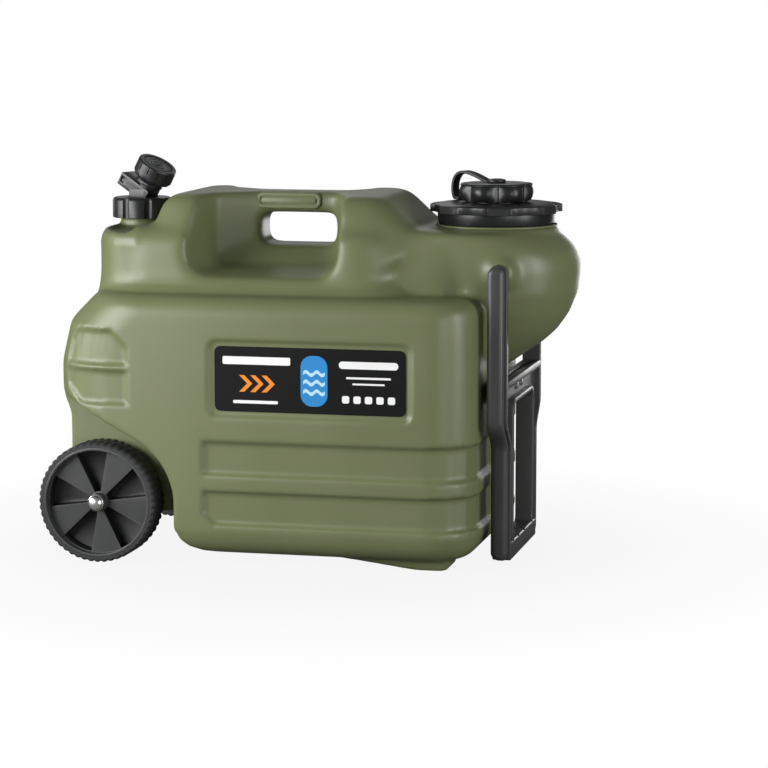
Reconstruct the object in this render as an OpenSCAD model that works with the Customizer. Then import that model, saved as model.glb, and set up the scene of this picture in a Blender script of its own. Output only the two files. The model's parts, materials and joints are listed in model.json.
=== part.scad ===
// Rolling water carrier: a blown tank with a carry grip, two wheels on one axle,
// a swinging pull handle, a screw lid with a tethered vent cap and a swivel tap.
// Millimetres, +Z up, origin on the ground under the middle of the whole object.

/* [Tank box] */
// Length of the tank box between its two end walls
tank_l = 416; // [400:1:437]
// Depth of the tank box, front wall to back wall
tank_d = 270; // [262:1:291]
// Height of the shoulder above the ground
shoulder_z = 258; // [252:1:264]
// Height of the tank's underside above the ground
belly_z = 10; // [6:0.5:12]
// Wall thickness of the blown tank
wall_t = 3; // [2:0.5:4]
// Plan radius of the corners at the filler end
corner_r = 46; // [37:1:52]
// Plan radius of the corners at the wheel end
nose_r = 62; // [52:1:69]
// Rounding of the edge under the box
belly_r = 23; // [17:1:27]
// Rounding of the shoulder edge
shoulder_r = 17; // [12:1:21]
// Height over which the top of the wheel end rounds off
nose_top_h = 52; // [42:1:58]
// How far the top of the wheel end rounds in
nose_top_in = 42; // [31:1:46]

/* [Upper tank] */
// Depth of the upper tank, front to back
upper_d = 202; // [196:1:208]
// Height of the two decks that carry the necks
deck_z = 320; // [316:1:324]
// How far the upper tank stands in from the wheel end
upper_in = 29; // [23:1:35]
// Plan radius of the upper tank at the wheel end
upper_nose_r = 60; // [50:1:69]
// Rounding of the deck edges
deck_r = 17; // [10:1:19]
// Spread of the fillet where the upper tank meets the shoulder
skirt_w = 11; // [6:1:15]
// Depth of the filler neck block, front to back
filler_d = 162; // [156:1:166]
// How far the filler bulge reaches past the end wall
bulge_reach = 80; // [73:1:85]
// Height of the filler bulge's widest level
bulge_z = 284; // [279:1:287]
// How far the bulge's tail runs down the end wall
bulge_tail = 14; // [8:1:15]
// Depth of the bowl in the deck round the tap
bowl_h = 7; // [4:1:9]

/* [Carry grip] */
// Height of the grip above the ground
grip_z = 351; // [347:1:356]
// Length of the grip mound along its top
mound_l = 237; // [231:1:240]
// Distance of the mound's top from the end wall
mound_end = 88; // [84:1:93]
// Run of the mound's flank on the tap side
flank_tap = 3; // [1:1:6]
// Run of the mound's flank on the filler side
flank_fill = 33; // [27:1:39]
// How much the mound narrows on each side towards its top
mound_taper = 17; // [10:1:23]
// Rounding of the mound's top edges
mound_r = 24; // [18:1:27]
// Width of the grip bar
grip_w = 40; // [33:1:44]
// Thickness of the grip bar
grip_t = 21; // [18:1:24]
// Length of the finger scoop where it opens in the wall
scoop_l = 148; // [141:1:154]
// Distance of the scoop from the end wall
scoop_end = 139; // [135:1:146]
// Height of the scoop's sill in the wall
scoop_z = 275; // [270:1:281]
// Corner radius of the scoop in the wall
scoop_r = 25; // [17:1:29]
// Length of the hand window under the grip bar
window_l = 76; // [70:1:82]
// Distance of the hand window from the end wall
window_end = 157; // [151:1:162]
// Height of the hand window's sill
window_z = 300; // [295:1:304]

/* [Moulded panels] */
// Depth of the sunk bands and corner panels
panel_t = 4; // [2:0.5:5]
// Height of one sunk band
band_h = 33; // [27:1:35]
// Bottom of the lower sunk band
band_z = 40; // [35:1:44]
// Spacing of the two sunk bands
band_pitch = 48; // [44:1:52]
// Length of the bands along the front wall
band_l = 261; // [250:1:272]
// Height of one corner panel
panel_h = 34; // [29:1:35]
// Bottom of the lower corner panel
panel_z = 152; // [148:1:156]
// Spacing of the two corner panels
panel_pitch = 38; // [37:1:42]
// Distance of the corner panels from the wheel end
panel_in = 16; // [12:1:20]
// Length of the corner panels along the front wall, from the wheel end
panel_l = 82; // [77:1:92]
// How far the wheel end stands in below the corner panels
nose_step = 8; // [4:1:11]
// Height at which that step begins
nose_step_z = 172; // [166:1:178]
// Width of the label
label_w = 185; // [166:1:198]
// Height of the label
label_h = 62; // [52:1:69]
// Thickness of the label
label_t = 0.8; // [0.4:0.1:1.2]
// Distance of the label from the end wall
label_end = 63; // [56:1:73]
// Bottom edge of the label
label_z = 150; // [144:1:156]
// Width of the sunk frame round the label
label_frame = 6; // [4:1:8]
// Depth of the sunk field that holds the label
label_sink = 3; // [2:0.5:4]
// Length of a foot along the tank
foot_l = 35; // [27:1:46]
// Width of a foot across the tank
foot_w = 52; // [37:1:62]
// Corner radius of a foot
foot_r = 8; // [5:1:10]
// Distance of the feet from the end wall
foot_end = 27; // [20:1:34]

/* [Wheels and axle] */
// Diameter over the tyres
wheel_d = 116; // [108:1:121]
// Width of a wheel
wheel_w = 33; // [27:1:35]
// Distance of the axle from the filler end wall
axle_end = 365; // [360:1:372]
// Diameter of the axle
axle_d = 10; // [8:0.5:12]
// Gap between the two inner wheel faces
track_in = 214; // [210:1:220]
// Radial depth of the tyre
tyre_t = 5; // [4:0.5:7]
// Number of tread notches round a tyre
tread_n = 52; // [40:1:64]
// Number of raised spokes on a wheel
spoke_n = 5; // [4:1:6]
// Depth of the spokes behind the wheel's rim
spoke_sink = 9; // [6:0.5:10]
// Depth of the pockets between the spokes
spoke_t = 14; // [10:0.5:16]
// Turn of the first pocket, as the wheel stands
spoke_turn = 26; // [0:1:72]
// Diameter of an axle cap
axle_cap_d = 15.5; // [14.5:0.5:18.5]
// Height of an axle cap
axle_cap_h = 6.5; // [5:0.5:8]
// Width of the tank between the wheel wells
well_d = 202; // [198:1:204]
// Room round the tyre inside the wheel well
well_gap = 10; // [8:1:17]
// How far the well's outer edge stands behind its inner edge
well_flare = 8; // [4:1:14]
// Height of the well's edge at the wheel end
well_top_z = 167; // [160:1:172]
// Length of the rounding under the tank behind the wheels
heel_l = 40; // [30:1:48]
// Height of that rounding
heel_h = 24; // [16:1:28]
// Height of the underside between the wheels
well_z = 46; // [42:1:48]

/* [Pull handle] */
// Distance of the handle's pivot outside the end wall
pivot_out = 16.5; // [15.5:0.5:21]
// Height of the handle's pivot
pivot_z = 281; // [277:1:284]
// Depth of the handle's section, along the tank
arm_t = 18.5; // [14.5:0.5:20]
// Width of one handle arm
arm_w = 14.5; // [12.5:0.5:16.5]
// Gap between the upper arms
arm_gap = 177; // [175:1:183]
// How far each arm steps in towards the hand loop
arm_step = 23; // [17:1:27]
// Height of the middle of that step
step_z = 127; // [121:1:131]
// Length of that step
step_h = 31; // [25:1:37]
// Clearance of the handle above the ground
handle_z = 5; // [4:0.5:10.5]
// Top of the handle's web
web_z = 179; // [175:1:181]
// Thickness of the handle's web
web_t = 6; // [4:0.5:8]
// Height of the ribs along the web
rib_h = 5; // [4:0.5:7.5]
// Top of the hand window in the handle
loop_z = 154; // [148:1:156]
// Width of the hand window in the handle
loop_w = 104; // [94:1:108]
// Thickness of the pull bar under the hand window
bar_t = 16.5; // [13.5:0.5:21]
// Diameter of a pivot pin
pin_d = 8; // [6:0.5:9]
// Diameter of the boss that holds a pivot pin
boss_d = 23; // [18.5:0.5:25]

/* [Lid and vent cap] */
// Distance of the filler axis from the end wall
fill_end = 3; // [0:1:6]
// Outside diameter of the filler neck
fill_d = 102; // [98:0.5:104]
// Wall of the filler neck
fill_wall = 4; // [3:0.5:5]
// Height of the filler neck above the deck
fill_h = 17; // [15.5:0.5:21]
// Outside diameter of the lid's skirt
lid_d = 113.5; // [111.5:0.5:116.5]
// Outside diameter over the lid's tabs
lid_tab_d = 127; // [124:0.5:131]
// Number of tabs round the lid
lid_tab_n = 7; // [6:1:9]
// Thickness of the lid's tabbed rim
lid_rim_t = 9.5; // [7:0.5:10.5]
// Thickness of the lid's top
lid_top_t = 3; // [2.5:0.5:4]
// Thickness of the lid's sealing ring
seal_t = 2; // [1.5:0.5:3]
// Outside diameter of the vent neck on the lid
vent_d = 52; // [48:0.5:54]
// Height of the vent neck on the lid
vent_h = 13.5; // [12:0.5:14.5]
// Diameter over the vent cap's lobes
vent_cap_d = 72; // [68.5:0.5:75]
// Number of lobes round the vent cap
vent_lobe_n = 6; // [5:1:8]
// Thickness of the vent cap's top
vent_top_t = 3; // [2.5:0.5:4]
// Distance of the tether post from the lid's axis
post_r = 47; // [46:0.5:49]
// Width of the tether strap
tether_w = 9.5; // [6:0.5:10.5]
// Thickness of the tether strap
tether_t = 2; // [1.5:0.25:2.5]
// Height of the tether's arch above the lid
tether_h = 30; // [28:0.5:34]

/* [Tap] */
// Distance of the tap's axis from the filler end wall
tap_end = 360; // [356:1:364]
// Outside diameter of the tap neck
tap_neck_d = 39.5; // [35.5:0.5:41.5]
// Height of the tap neck above the deck
tap_neck_h = 14.5; // [12.5:0.5:18.5]
// Outside diameter of the tap's collar nut
collar_d = 59.5; // [56:0.5:62.5]
// Height of the collar nut
collar_h = 20; // [17.5:0.5:23]
// Number of grooves round the collar nut
collar_n = 8; // [6:1:10]
// Turn of the tap on its axis, as it stands
tap_turn = -19; // [-40:1:40]
// Lean of the valve from upright
tap_lean = 30; // [24:1:34]
// Width of the tap's square stem
stem_w = 20; // [16.5:0.5:21]
// Height of the spout's section
spout_t = 12.5; // [11.5:0.5:14.5]
// Width of the spout's section
spout_w = 15.5; // [13.5:0.5:17.5]
// Reach of the spout from the valve axis
spout_l = 31; // [29:0.5:35.5]
// Diameter of the spout's outlet
outlet_d = 8; // [6:0.5:9]
// Outside diameter of the valve barrel
barrel_d = 23; // [21:0.5:24]
// Diameter of the knob
knob_d = 39.5; // [37.5:0.5:43.5]
// Height of the knob
knob_h = 16.5; // [14.5:0.5:18.5]
// Number of notches round the knob
knob_n = 12; // [8:1:16]
// Diameter of the valve spindle
spindle_d = 8; // [6:0.5:9]

/* [Clearances] */
// Gap between parts that turn or slide past each other
run_gap = 0.4; // [0.3:0.05:0.6]
// Gap between a seal and the face it closes on
seal_gap = 0.3; // [0.2:0.05:0.4]
// Radial play of a wheel on the axle
axle_play = 0.1; // [0.05:0.01:0.1]
// Radial room of a cap, pin or screw in its hole
fit_gap = 0.02; // [0.01:0.01:0.05]

/* [Hidden] */
$fn = 64;
shell_fn = 32;
neck_fn = 48;
hollow_fn = 12;
olive = "#6f7a50";
black = "#26282a";
steel = "#c9ccd0";
rubber = "#1b1c1d";

// Places along X: the end walls, then the axes
wheel_r = wheel_d / 2;
x_low = -max(axle_end + wheel_r, tank_l);
end_x = -(x_low + bulge_reach) / 2;
nose_x = end_x - tank_l;
axle_x = end_x - axle_end;
fill_x = end_x - fill_end;
tap_x = end_x - tap_end;
pivot_x = end_x + pivot_out;
mound_x1 = end_x - mound_end;
mound_x0 = mound_x1 - mound_l;
scoop_x1 = end_x - scoop_end;
scoop_x0 = scoop_x1 - scoop_l;
window_x1 = end_x - window_end;
window_x0 = window_x1 - window_l;
label_x1 = end_x - label_end;
label_x0 = label_x1 - label_w;

// Heights
axle_z = wheel_r;
grip_low_z = grip_z - grip_t;
fill_top_z = deck_z + fill_h;
skirt_gap = 2.5;
lid_low_z = deck_z + skirt_gap;
seal_z = fill_top_z + seal_gap;
lid_under_z = seal_z + seal_t + seal_gap;
lid_top_z = lid_under_z + lid_top_t;
vent_rim_z = lid_top_z + vent_h;
vent_seal_z = vent_rim_z + seal_gap;
vent_seal_t = 1.2;
vent_under_z = vent_seal_z + vent_seal_t + seal_gap;
vent_top_z = vent_under_z + vent_top_t;
tether_z = vent_top_z + run_gap;
tap_rim_z = deck_z + tap_neck_h;
tap_seal_z = tap_rim_z + seal_gap;
tap_seal_t = 1.5;
flange_z = tap_seal_z + tap_seal_t + seal_gap;
flange_t = 3;
collar_lip_z = flange_z + flange_t + run_gap;
collar_lip_t = 2;
collar_top_z = collar_lip_z + collar_lip_t;
stem_sink = 1;
valve_z = collar_top_z - stem_sink;
bulge_gap = 20;
bulge_low = web_z + bulge_gap;
bulge_top = deck_z - 3;
bumper_z = (web_z + loop_z) / 2;

// Radii of the bores and what runs in them
hub_bore_r = axle_d / 2 + axle_play;
tyre_in_r = wheel_r - tyre_t;
thread_gap = 1;
lid_in_r = fill_d / 2 + thread_gap;
fill_bore_r = fill_d / 2 - fill_wall;
vent_in_r = vent_d / 2 + thread_gap;
vent_wall = 4;
vent_bore_r = vent_d / 2 - vent_wall;
tap_wall = 3.5;
tap_bore_r = tap_neck_d / 2 - tap_wall;
collar_in_r = tap_neck_d / 2 + thread_gap;
hub_rim_t = 2.5;
hub_boss_t = 3.5;
hub_back = 2.5;
spoke_wall = 4;
pin_bury = 11;
screw_y = 12;
screw_d = 4;

// Tether: its post on the lid and its button on the vent cap
tether_x0 = fill_x - post_r;
tether_z0 = lid_top_z + run_gap;
post_shaft_r = 3;
post_ring_r = 6.5;
button_shaft_r = 4;
button_ring_r = 9;

// Tap: stations along the valve axis, then radii
seat_s = 2;
washer_t = 2.5;
spout_s = 5;
outlet_s = spout_s + 1.5;
barrel_s = 16;
gland_t = 5;
knob_s = barrel_s + gland_t + 2;
disc_t = 2;
stem_rise = 7;
spigot_h = 8;
inlet_r = 5;
inlet_top = -1.2;
seat_r = 3.4;
washer_r = seat_r + 2;
chamber_r = barrel_d / 2 - 4;
gland_d = barrel_d + 4;
stem_hole_r = stem_w * sqrt(2) / 2 + 1;
disc_r = knob_d / 2 - 5;

// One solid along Y from y0 to y1, drawn as an X-Z outline
module along_y(y0, y1) {
    translate([0, y1, 0])
        rotate([90, 0, 0])
            linear_extrude(y1 - y0)
                children();
}

// One solid along X from x0 to x1, drawn as a Y-Z outline
module along_x(x0, x1) {
    translate([x0, 0, 0])
        rotate([90, 0, 90])
            linear_extrude(x1 - x0)
                children();
}

// Rectangle with round corners
module round_rect(x0, x1, z0, z1, r) {
    translate([x0 + r, z0]) square([x1 - x0 - 2 * r, z1 - z0]);
    translate([x0, z0 + r]) square([x1 - x0, z1 - z0 - 2 * r]);
    for (x = [x0 + r, x1 - r], z = [z0 + r, z1 - r])
        translate([x, z]) circle(r);
}

// Flat ring
module ring(r_out, r_in, h) {
    difference() {
        cylinder(r = r_out, h = h);
        translate([0, 0, -1]) cylinder(r = r_in, h = h + 2);
    }
}

// Sides of a rounding on the outer skin, or on the hollow t inside it
function sides(t) = t > 0 ? hollow_fn : shell_fn;

// Corner of a soft box: plan radius r, edge radius e, with n sides
module soft_corner(x, y, z, r, e, n) {
    translate([x, y, z])
        rotate_extrude($fn = n)
            intersection() {
                translate([r - e, 0]) circle(e, $fn = n / 2);
                translate([0, -e]) square([r, 2 * e]);
            }
}

// Box with soft corners, its low and high X ends rounded apart
module soft_box(x0, x1, half_y, z0, z1, r0, r1, e_low, e_top0, e_top1, n) {
    hull()
        for (s = [-1, 1]) {
            soft_corner(x0 + r0, s * (half_y - r0), z0 + e_low, r0, e_low, n);
            soft_corner(x1 - r1, s * (half_y - r1), z0 + e_low, r1, e_low, n);
            soft_corner(x0 + r0, s * (half_y - r0), z1 - e_top0, r0, e_top0, n);
            soft_corner(x1 - r1, s * (half_y - r1), z1 - e_top1, r1, e_top1, n);
        }
}

// Tank box, drawn t inside its outer skin, with rings that round off the top of its nose
module box_form(t) {
    half = tank_d / 2;
    low = belly_z + belly_r;
    top = shoulder_z - shoulder_r;
    hull()
        for (s = [-1, 1]) {
            for (z = [[low, belly_r], [top, shoulder_r]])
                soft_corner(end_x - corner_r, s * (half - corner_r), z[0], corner_r - t, z[1] - t, sides(t));
            soft_corner(nose_x + nose_r, s * (half - nose_r), low, nose_r - t, belly_r - t, sides(t));
            for (a = [0, 35, 70])
                soft_corner(nose_x + nose_r + nose_top_in * (1 - cos(a)), s * (half - nose_r),
                            top - nose_top_h * (1 - sin(a) / sin(70)), nose_r - t, shoulder_r - t, sides(t));
        }
}

// Upper tank with its deck, and the fillet that spreads it onto the shoulder
module upper_form(t) {
    x0 = nose_x + upper_in;
    x1 = mound_x1 + flank_fill / 3;
    half = upper_d / 2;
    nose_side = 0.8 * skirt_w;
    soft_box(x0 + t, x1 - t, half - t, shoulder_z - 3 * shoulder_r, deck_z - t,
             upper_nose_r - t, corner_r - t, 2, deck_r - t, deck_r - t, sides(t));
    hull()
        for (s = [-1, 1], x = [[x0 + upper_nose_r, nose_side], [x1 - corner_r, 0]])
            translate([x[0], s * (half - upper_nose_r), shoulder_z - shoulder_r]) {
                r = upper_nose_r - t;
                translate([x[1], 0, 0]) cylinder(r = r + skirt_w, h = shoulder_r - 2, $fn = sides(t));
                cylinder(r = r, h = shoulder_r + skirt_w, $fn = sides(t));
            }
}

// Block between the mound and the filler neck
module filler_block(t) {
    half = filler_d / 2;
    hull()
        for (s = [-1, 1], x = [mound_x0 + mound_l / 2, end_x - corner_r])
            for (z = [shoulder_z - 2 * shoulder_r, deck_z - deck_r])
                soft_corner(x, s * (half - corner_r), z, corner_r - t, deck_r - t, sides(t));
}

// Bulge section at height z: half depth and reach past the end wall
function bulge_half(z) =
    filler_d / 2 * (z < bulge_z ? sqrt(1 - pow(0.76 * (bulge_z - z) / (bulge_z - bulge_low), 2)) : 1);
function bulge_out(z) =
    bulge_reach * (z < bulge_z ? sqrt(1 - pow(0.95 * (bulge_z - z) / (bulge_z - bulge_low), 2))
                               : sqrt(1 - pow(0.78 * (z - bulge_z) / (bulge_top - bulge_z), 2)));

// Bulge that carries the filler neck past the end wall, with a tail that runs down the wall
module bulge_form(t) {
    tail_r = 0.55 * filler_d / 2;
    tail_out = bulge_reach / 9;
    below = [for (u = [0, 0.12, 0.26, 0.45, 0.7]) bulge_low + u * (bulge_z - bulge_low)];
    above = [for (u = [0, 0.4, 0.75, 1]) bulge_z + u * (bulge_top - bulge_z)];
    hull() {
        for (z = concat(below, above)) {
            r = bulge_half(z);
            lift = t * (z > bulge_z ? -1 : 1);
            translate([end_x + bulge_out(z) - r, 0, z + lift])
                cylinder(r = r - t, h = 0.1, $fn = 1.5 * sides(t));
        }
        translate([end_x + tail_out - tail_r, 0, bulge_low - bulge_tail + t])
            cylinder(r = tail_r - t, h = 0.1, $fn = 1.5 * sides(t));
    }
}

// Mound that carries the grip
module mound_form(t) {
    half = upper_d / 2;
    r = deck_r + 2;
    top_r = mound_r + 6;
    hull() {
        for (s = [-1, 1]) {
            for (x = [mound_x0 + top_r, mound_x1 - top_r])
                soft_corner(x, s * (half - mound_taper - top_r), grip_z - mound_r,
                            top_r - t, mound_r - t, sides(t));
            soft_corner(mound_x0 - flank_tap + r, s * (half - 2 - r), deck_z - deck_r,
                        r - t, 4, sides(t));
            soft_corner(mound_x1 + flank_fill - r, s * (filler_d / 2 - r), deck_z - deck_r,
                        r - t, 4, sides(t));
            soft_corner(mound_x1 - r, s * (half - 2 - r), deck_z - 2 * deck_r, r - t, 4, sides(t));
        }
    }
}

// Finger scoop in one wall, grown by t, s is -1 at the front and 1 at the back: it widens fast
// behind the wall and slowly towards it, so its ends are hollowed like a bowl
module scoop_cut(t, s) {
    top = grip_z + 40;
    y_in = grip_w / 2 - t;
    y_out = upper_d / 2 + 20;
    inner = [window_x0, window_x1, window_z];
    outer = [scoop_x0 - 6, scoop_x1 + 4, scoop_z - 5];
    y_mid = y_in + 0.25 * (y_out - y_in);
    mid_share = 0.64;
    hull()
        for (p = [[y_in, 0, scoop_r / 2], [y_mid, mid_share, 0.75 * scoop_r], [y_out, 1, scoop_r]]) {
            e = inner + p[1] * (outer - inner);
            translate([0, s * p[0], 0])
                along_y(-0.05, 0.05)
                    round_rect(e[0] - t, e[1] + t, e[2] - t, top, p[2]);
        }
}

// Hand window under the grip bar, grown by t
module window_cut(t) {
    along_y(-grip_w, grip_w)
        round_rect(window_x0 - t, window_x1 + t, window_z - t, grip_low_z + t, 6);
}

// Bowl round the tap: room for fingers at the collar, and a rounded notch to the front and the back
module tap_bowl(t) {
    half = collar_d / 2 - 7 + t;
    finger_gap = 6;
    floor_z = deck_z - bowl_h - t;
    along_y(-tank_d, tank_d)
        round_rect(tap_x - half, tap_x + half, floor_z, deck_z + collar_d, 14);
    translate([tap_x, 0, deck_z - t]) cylinder(r = collar_d / 2 + finger_gap + t, h = collar_d, $fn = neck_fn);
}

// Side outline of a wheel well grown by t: a round arch set back, and an edge that rises to the nose
module well_outline(t, back) {
    r = wheel_r + well_gap + t;
    hull() {
        translate([axle_x + back, axle_z]) circle(r, $fn = 48);
        translate([nose_x - r, axle_z]) square([r, well_top_z + t - axle_z]);
        translate([nose_x - r, -2 * r]) square([axle_x + back - nose_x + 2 * r, r]);
    }
}

// Wheel well on one side, a little longer at the outside
module well_cut(t, s) {
    hull() {
        translate([0, s * (well_d / 2 - t), 0]) along_y(-0.05, 0.05) well_outline(t, 0);
        translate([0, s * (tank_d / 2 + 1), 0]) along_y(-0.05, 0.05) well_outline(t, well_flare);
    }
}

// Cut under the tank between the wheels, with the rounded heel behind them
module axle_cut(t) {
    x0 = nose_x - wheel_r;
    x1 = axle_x + wheel_r + well_gap + well_flare + t;
    z0 = belly_z + t;
    heel = [for (a = [0:22.5:90]) [x1 + heel_l * (1 - sin(a)), z0 + heel_h * (1 - cos(a))]];
    along_y(-tank_d, tank_d)
        polygon(concat([[x0, -well_z], [x1 + heel_l, -well_z]], heel,
                       [[x1 - well_flare, well_z + t], [x0, well_z + t]]));
}

// Step under the rounded nose of the wheel end
module nose_cut(t) {
    slope = 2.6;
    z = nose_step_z + 3 * t;
    difference() {
        along_y(-tank_d, tank_d)
            polygon([[nose_x - nose_r, z + slope * nose_r], [nose_x + nose_r, z - slope * nose_r],
                     [nose_x - nose_r, z - slope * nose_r]]);
        translate([nose_step, 0, 0]) box_form(t);
    }
}

// Sunk bands that run along the wall and round the filler end
module band_cuts(t) {
    x0 = end_x - band_l - t;
    x1 = end_x + 10;
    cut = band_h / 3;
    for (i = [0, 1]) {
        z0 = band_z + i * band_pitch - t;
        z1 = band_z + i * band_pitch + band_h + t;
        along_y(-tank_d, tank_d)
            if (i == 0)
                polygon([[x0, z1], [x0, z0 + cut], [x0 + cut, z0], [x1, z0], [x1, z1]]);
            else
                polygon([[x0, z1], [x0, z0], [x1, z0], [x1, z1]]);
    }
}

// Sunk panels on the corners of the wheel end, the upper one rounded off towards the nose
module panel_cuts(t) {
    x0 = nose_x + panel_in - t;
    x1 = nose_x + panel_l + t;
    cut = panel_h / 2;
    for (i = [0, 1]) {
        z0 = panel_z + i * panel_pitch - t;
        z1 = panel_z + i * panel_pitch + panel_h + t;
        round_off = [for (a = [0:22.5:90]) [x0 + cut * (1 - cos(a)), z1 - (z1 - z0) * (1 - sin(a))]];
        along_y(-tank_d, tank_d)
            if (i == 1)
                polygon(concat([[x1 - cut, z1], [x1, z1 - cut], [x1, z0]], round_off));
            else
                polygon([[x0, z1], [x1, z1], [x1, z0], [x0 + cut, z0], [x0, z0 + cut]]);
    }
}

// Floor of the corner panels: the tank box made less deep, as the mould halves draw off to front and back
module panel_floor(t) {
    half = tank_d / 2 - t;
    scale([1, (half - panel_t) / half, 1]) box_form(t);
}

// Sunk label fields on the front and the back
module label_cuts(t) {
    f = label_frame + t;
    for (s = [-1, 1])
        translate([0, s * (tank_d / 2 - label_sink - t + 10), 0])
            along_y(-10, 10)
                round_rect(label_x0 - f, label_x1 + f, label_z - f, label_z + label_h + f, 9);
}

// Whole form of the tank, t inside its outer skin
module tank_form(t) {
    difference() {
        union() {
            difference() {
                box_form(t);
                difference() {
                    band_cuts(t);
                    box_form(t + panel_t);
                }
                difference() {
                    panel_cuts(t);
                    panel_floor(t);
                }
                label_cuts(t);
                nose_cut(t);
            }
            upper_form(t);
            filler_block(t);
            bulge_form(t);
            mound_form(t);
        }
        for (s = [-1, 1]) {
            scoop_cut(t, s);
            well_cut(t, s);
        }
        tap_bowl(t);
        window_cut(t);
        axle_cut(t);
    }
}

// Bosses that hold the handle's pivot pins
module pivot_bosses() {
    boss_h = 2 * pin_bury;
    for (s = [-1, 1])
        translate([pivot_x, s * (arm_gap / 2 - run_gap - boss_h), pivot_z])
            rotate([-s * 90, 0, 0])
                cylinder(d1 = boss_d + 16, d2 = boss_d, h = boss_h, $fn = shell_fn);
}

// Feet under the filler end, each a wedge that comes down from the belly
module feet() {
    x1 = end_x - foot_end - foot_r;
    x0 = x1 - foot_l + 2 * foot_r;
    y1 = tank_d / 2 - belly_r - foot_r;
    for (s = [-1, 1])
        hull()
            for (y = [y1 - foot_w + 2 * foot_r, y1]) {
                for (x = [x0, x1])
                    translate([x, s * y, 0]) cylinder(r = foot_r, h = belly_z + 2, $fn = 24);
                translate([x0 - 2 * foot_l, s * y, belly_z - 1]) cylinder(r = foot_r, h = 3, $fn = 24);
            }
}

module tank_body() {
    tube_r = axle_d / 2 + run_gap + wall_t;
    neck_root = 10;
    bead_h = 1;
    bore_z = deck_z - 3 * neck_root;
    color(olive)
        difference() {
            union() {
                difference() {
                    union() {
                        tank_form(0);
                        pivot_bosses();
                        feet();
                    }
                    difference() {
                        tank_form(wall_t);
                        along_y(-tank_d, tank_d)
                            translate([axle_x, axle_z]) circle(tube_r, $fn = shell_fn);
                        pivot_bosses();
                    }
                }
                translate([fill_x, 0, deck_z - neck_root]) {
                    cylinder(d = fill_d, h = fill_h + neck_root, $fn = neck_fn);
                    cylinder(d1 = lid_d + 12, d2 = lid_d + 4, h = neck_root + bead_h, $fn = neck_fn);
                }
                translate([tap_x, 0, deck_z - neck_root]) {
                    cylinder(d = tap_neck_d, h = tap_neck_h + neck_root, $fn = neck_fn);
                    cylinder(d = tap_neck_d + 4, h = neck_root + bead_h, $fn = neck_fn);
                }
            }
            translate([fill_x, 0, bore_z])
                cylinder(r = fill_bore_r, h = 4 * neck_root + fill_h, $fn = neck_fn);
            translate([tap_x, 0, bore_z])
                cylinder(r = tap_bore_r, h = 4 * neck_root + tap_neck_h, $fn = neck_fn);
            along_y(-tank_d, tank_d)
                translate([axle_x, axle_z]) circle(axle_d / 2 + run_gap, $fn = shell_fn);
            for (s = [-1, 1])
                translate([pivot_x, s * (arm_gap / 2 - pin_bury - 1), pivot_z])
                    rotate([-s * 90, 0, 0])
                        cylinder(d = pin_d + 2 * run_gap, h = 2 * pin_bury, $fn = neck_fn);
        }
}

module label_plate() {
    y0 = -tank_d / 2 + label_sink;
    color(black)
        along_y(y0 - label_t, y0)
            round_rect(label_x0, label_x1, label_z, label_z + label_h, 6);
}

// Everything on the axle is drawn along +Z from the tank's middle plane, then laid over
module on_axle(s) {
    translate([axle_x, 0, axle_z]) rotate([-s * 90, 0, 0]) children();
}

module axle() {
    half = track_in / 2 + wheel_w + axle_cap_h / 2;
    color(steel) on_axle(1) translate([0, 0, -half]) cylinder(d = axle_d, h = 2 * half);
}

module axle_washers() {
    room = track_in / 2 - well_d / 2;
    color(black)
        for (s = [-1, 1])
            on_axle(s)
                translate([0, 0, well_d / 2 + seal_gap])
                    ring(axle_d + 1, hub_bore_r + run_gap, room - 2 * seal_gap);
}

// Pie slice of a ring, as an outline
module ring_slice(r_out, r_in, angle) {
    far = 2 * r_out;
    intersection() {
        difference() {
            circle(r_out);
            circle(r_in);
        }
        polygon([[0, 0], far * [cos(angle / 2), -sin(angle / 2)], far * [cos(angle / 2), sin(angle / 2)]]);
    }
}

module wheel_hub(s) {
    hub_r = tyre_in_r - fit_gap;
    rim_r = hub_r - hub_rim_t;
    boss_r = axle_d / 2 + hub_boss_t;
    face_z = wheel_w - spoke_sink;
    slot = 180 / spoke_n;
    color(black)
        on_axle(s)
            translate([0, 0, track_in / 2])
                difference() {
                    rotate_extrude()
                        polygon([[hub_bore_r, 0], [boss_r, 0], [boss_r, hub_back], [rim_r, hub_back], [rim_r, 0],
                                 [hub_r, 0], [hub_r, wheel_w], [rim_r, wheel_w], [rim_r, face_z],
                                 [boss_r, face_z], [boss_r, wheel_w], [hub_bore_r, wheel_w]]);
                    for (i = [0:spoke_n - 1])
                        rotate([0, 0, spoke_turn + 2 * i * slot]) {
                            translate([0, 0, face_z - spoke_t])
                                linear_extrude(spoke_t + 1)
                                    ring_slice(rim_r - 0.6, boss_r + 1, slot);
                            rotate([0, 0, slot])
                                translate([0, 0, -1])
                                    linear_extrude(face_z - spoke_wall + 1)
                                        ring_slice(rim_r - 0.6, 2 * boss_r, 0.7 * slot);
                        }
                }
}

module tyre(s) {
    notch_r = 1.6;
    color(rubber)
        on_axle(s)
            translate([0, 0, track_in / 2])
                difference() {
                    rotate_extrude()
                        polygon([[tyre_in_r, 0], [wheel_r - 2, 0], [wheel_r, 2], [wheel_r, wheel_w - 2],
                                 [wheel_r - 2, wheel_w], [tyre_in_r, wheel_w]]);
                    for (i = [0:tread_n - 1], z = [-1, wheel_w / 2 + 2])
                        rotate([0, 0, (i + (z > 0 ? 0.5 : 0)) * 360 / tread_n])
                            translate([wheel_r + 0.4, 0, z])
                                cylinder(r = notch_r, h = wheel_w / 2 - 1, $fn = 16);
                }
}

module front_wheel_hub() { wheel_hub(-1); }

module rear_wheel_hub() { wheel_hub(1); }

module front_tyre() { tyre(-1); }

module rear_tyre() { tyre(1); }

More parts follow.
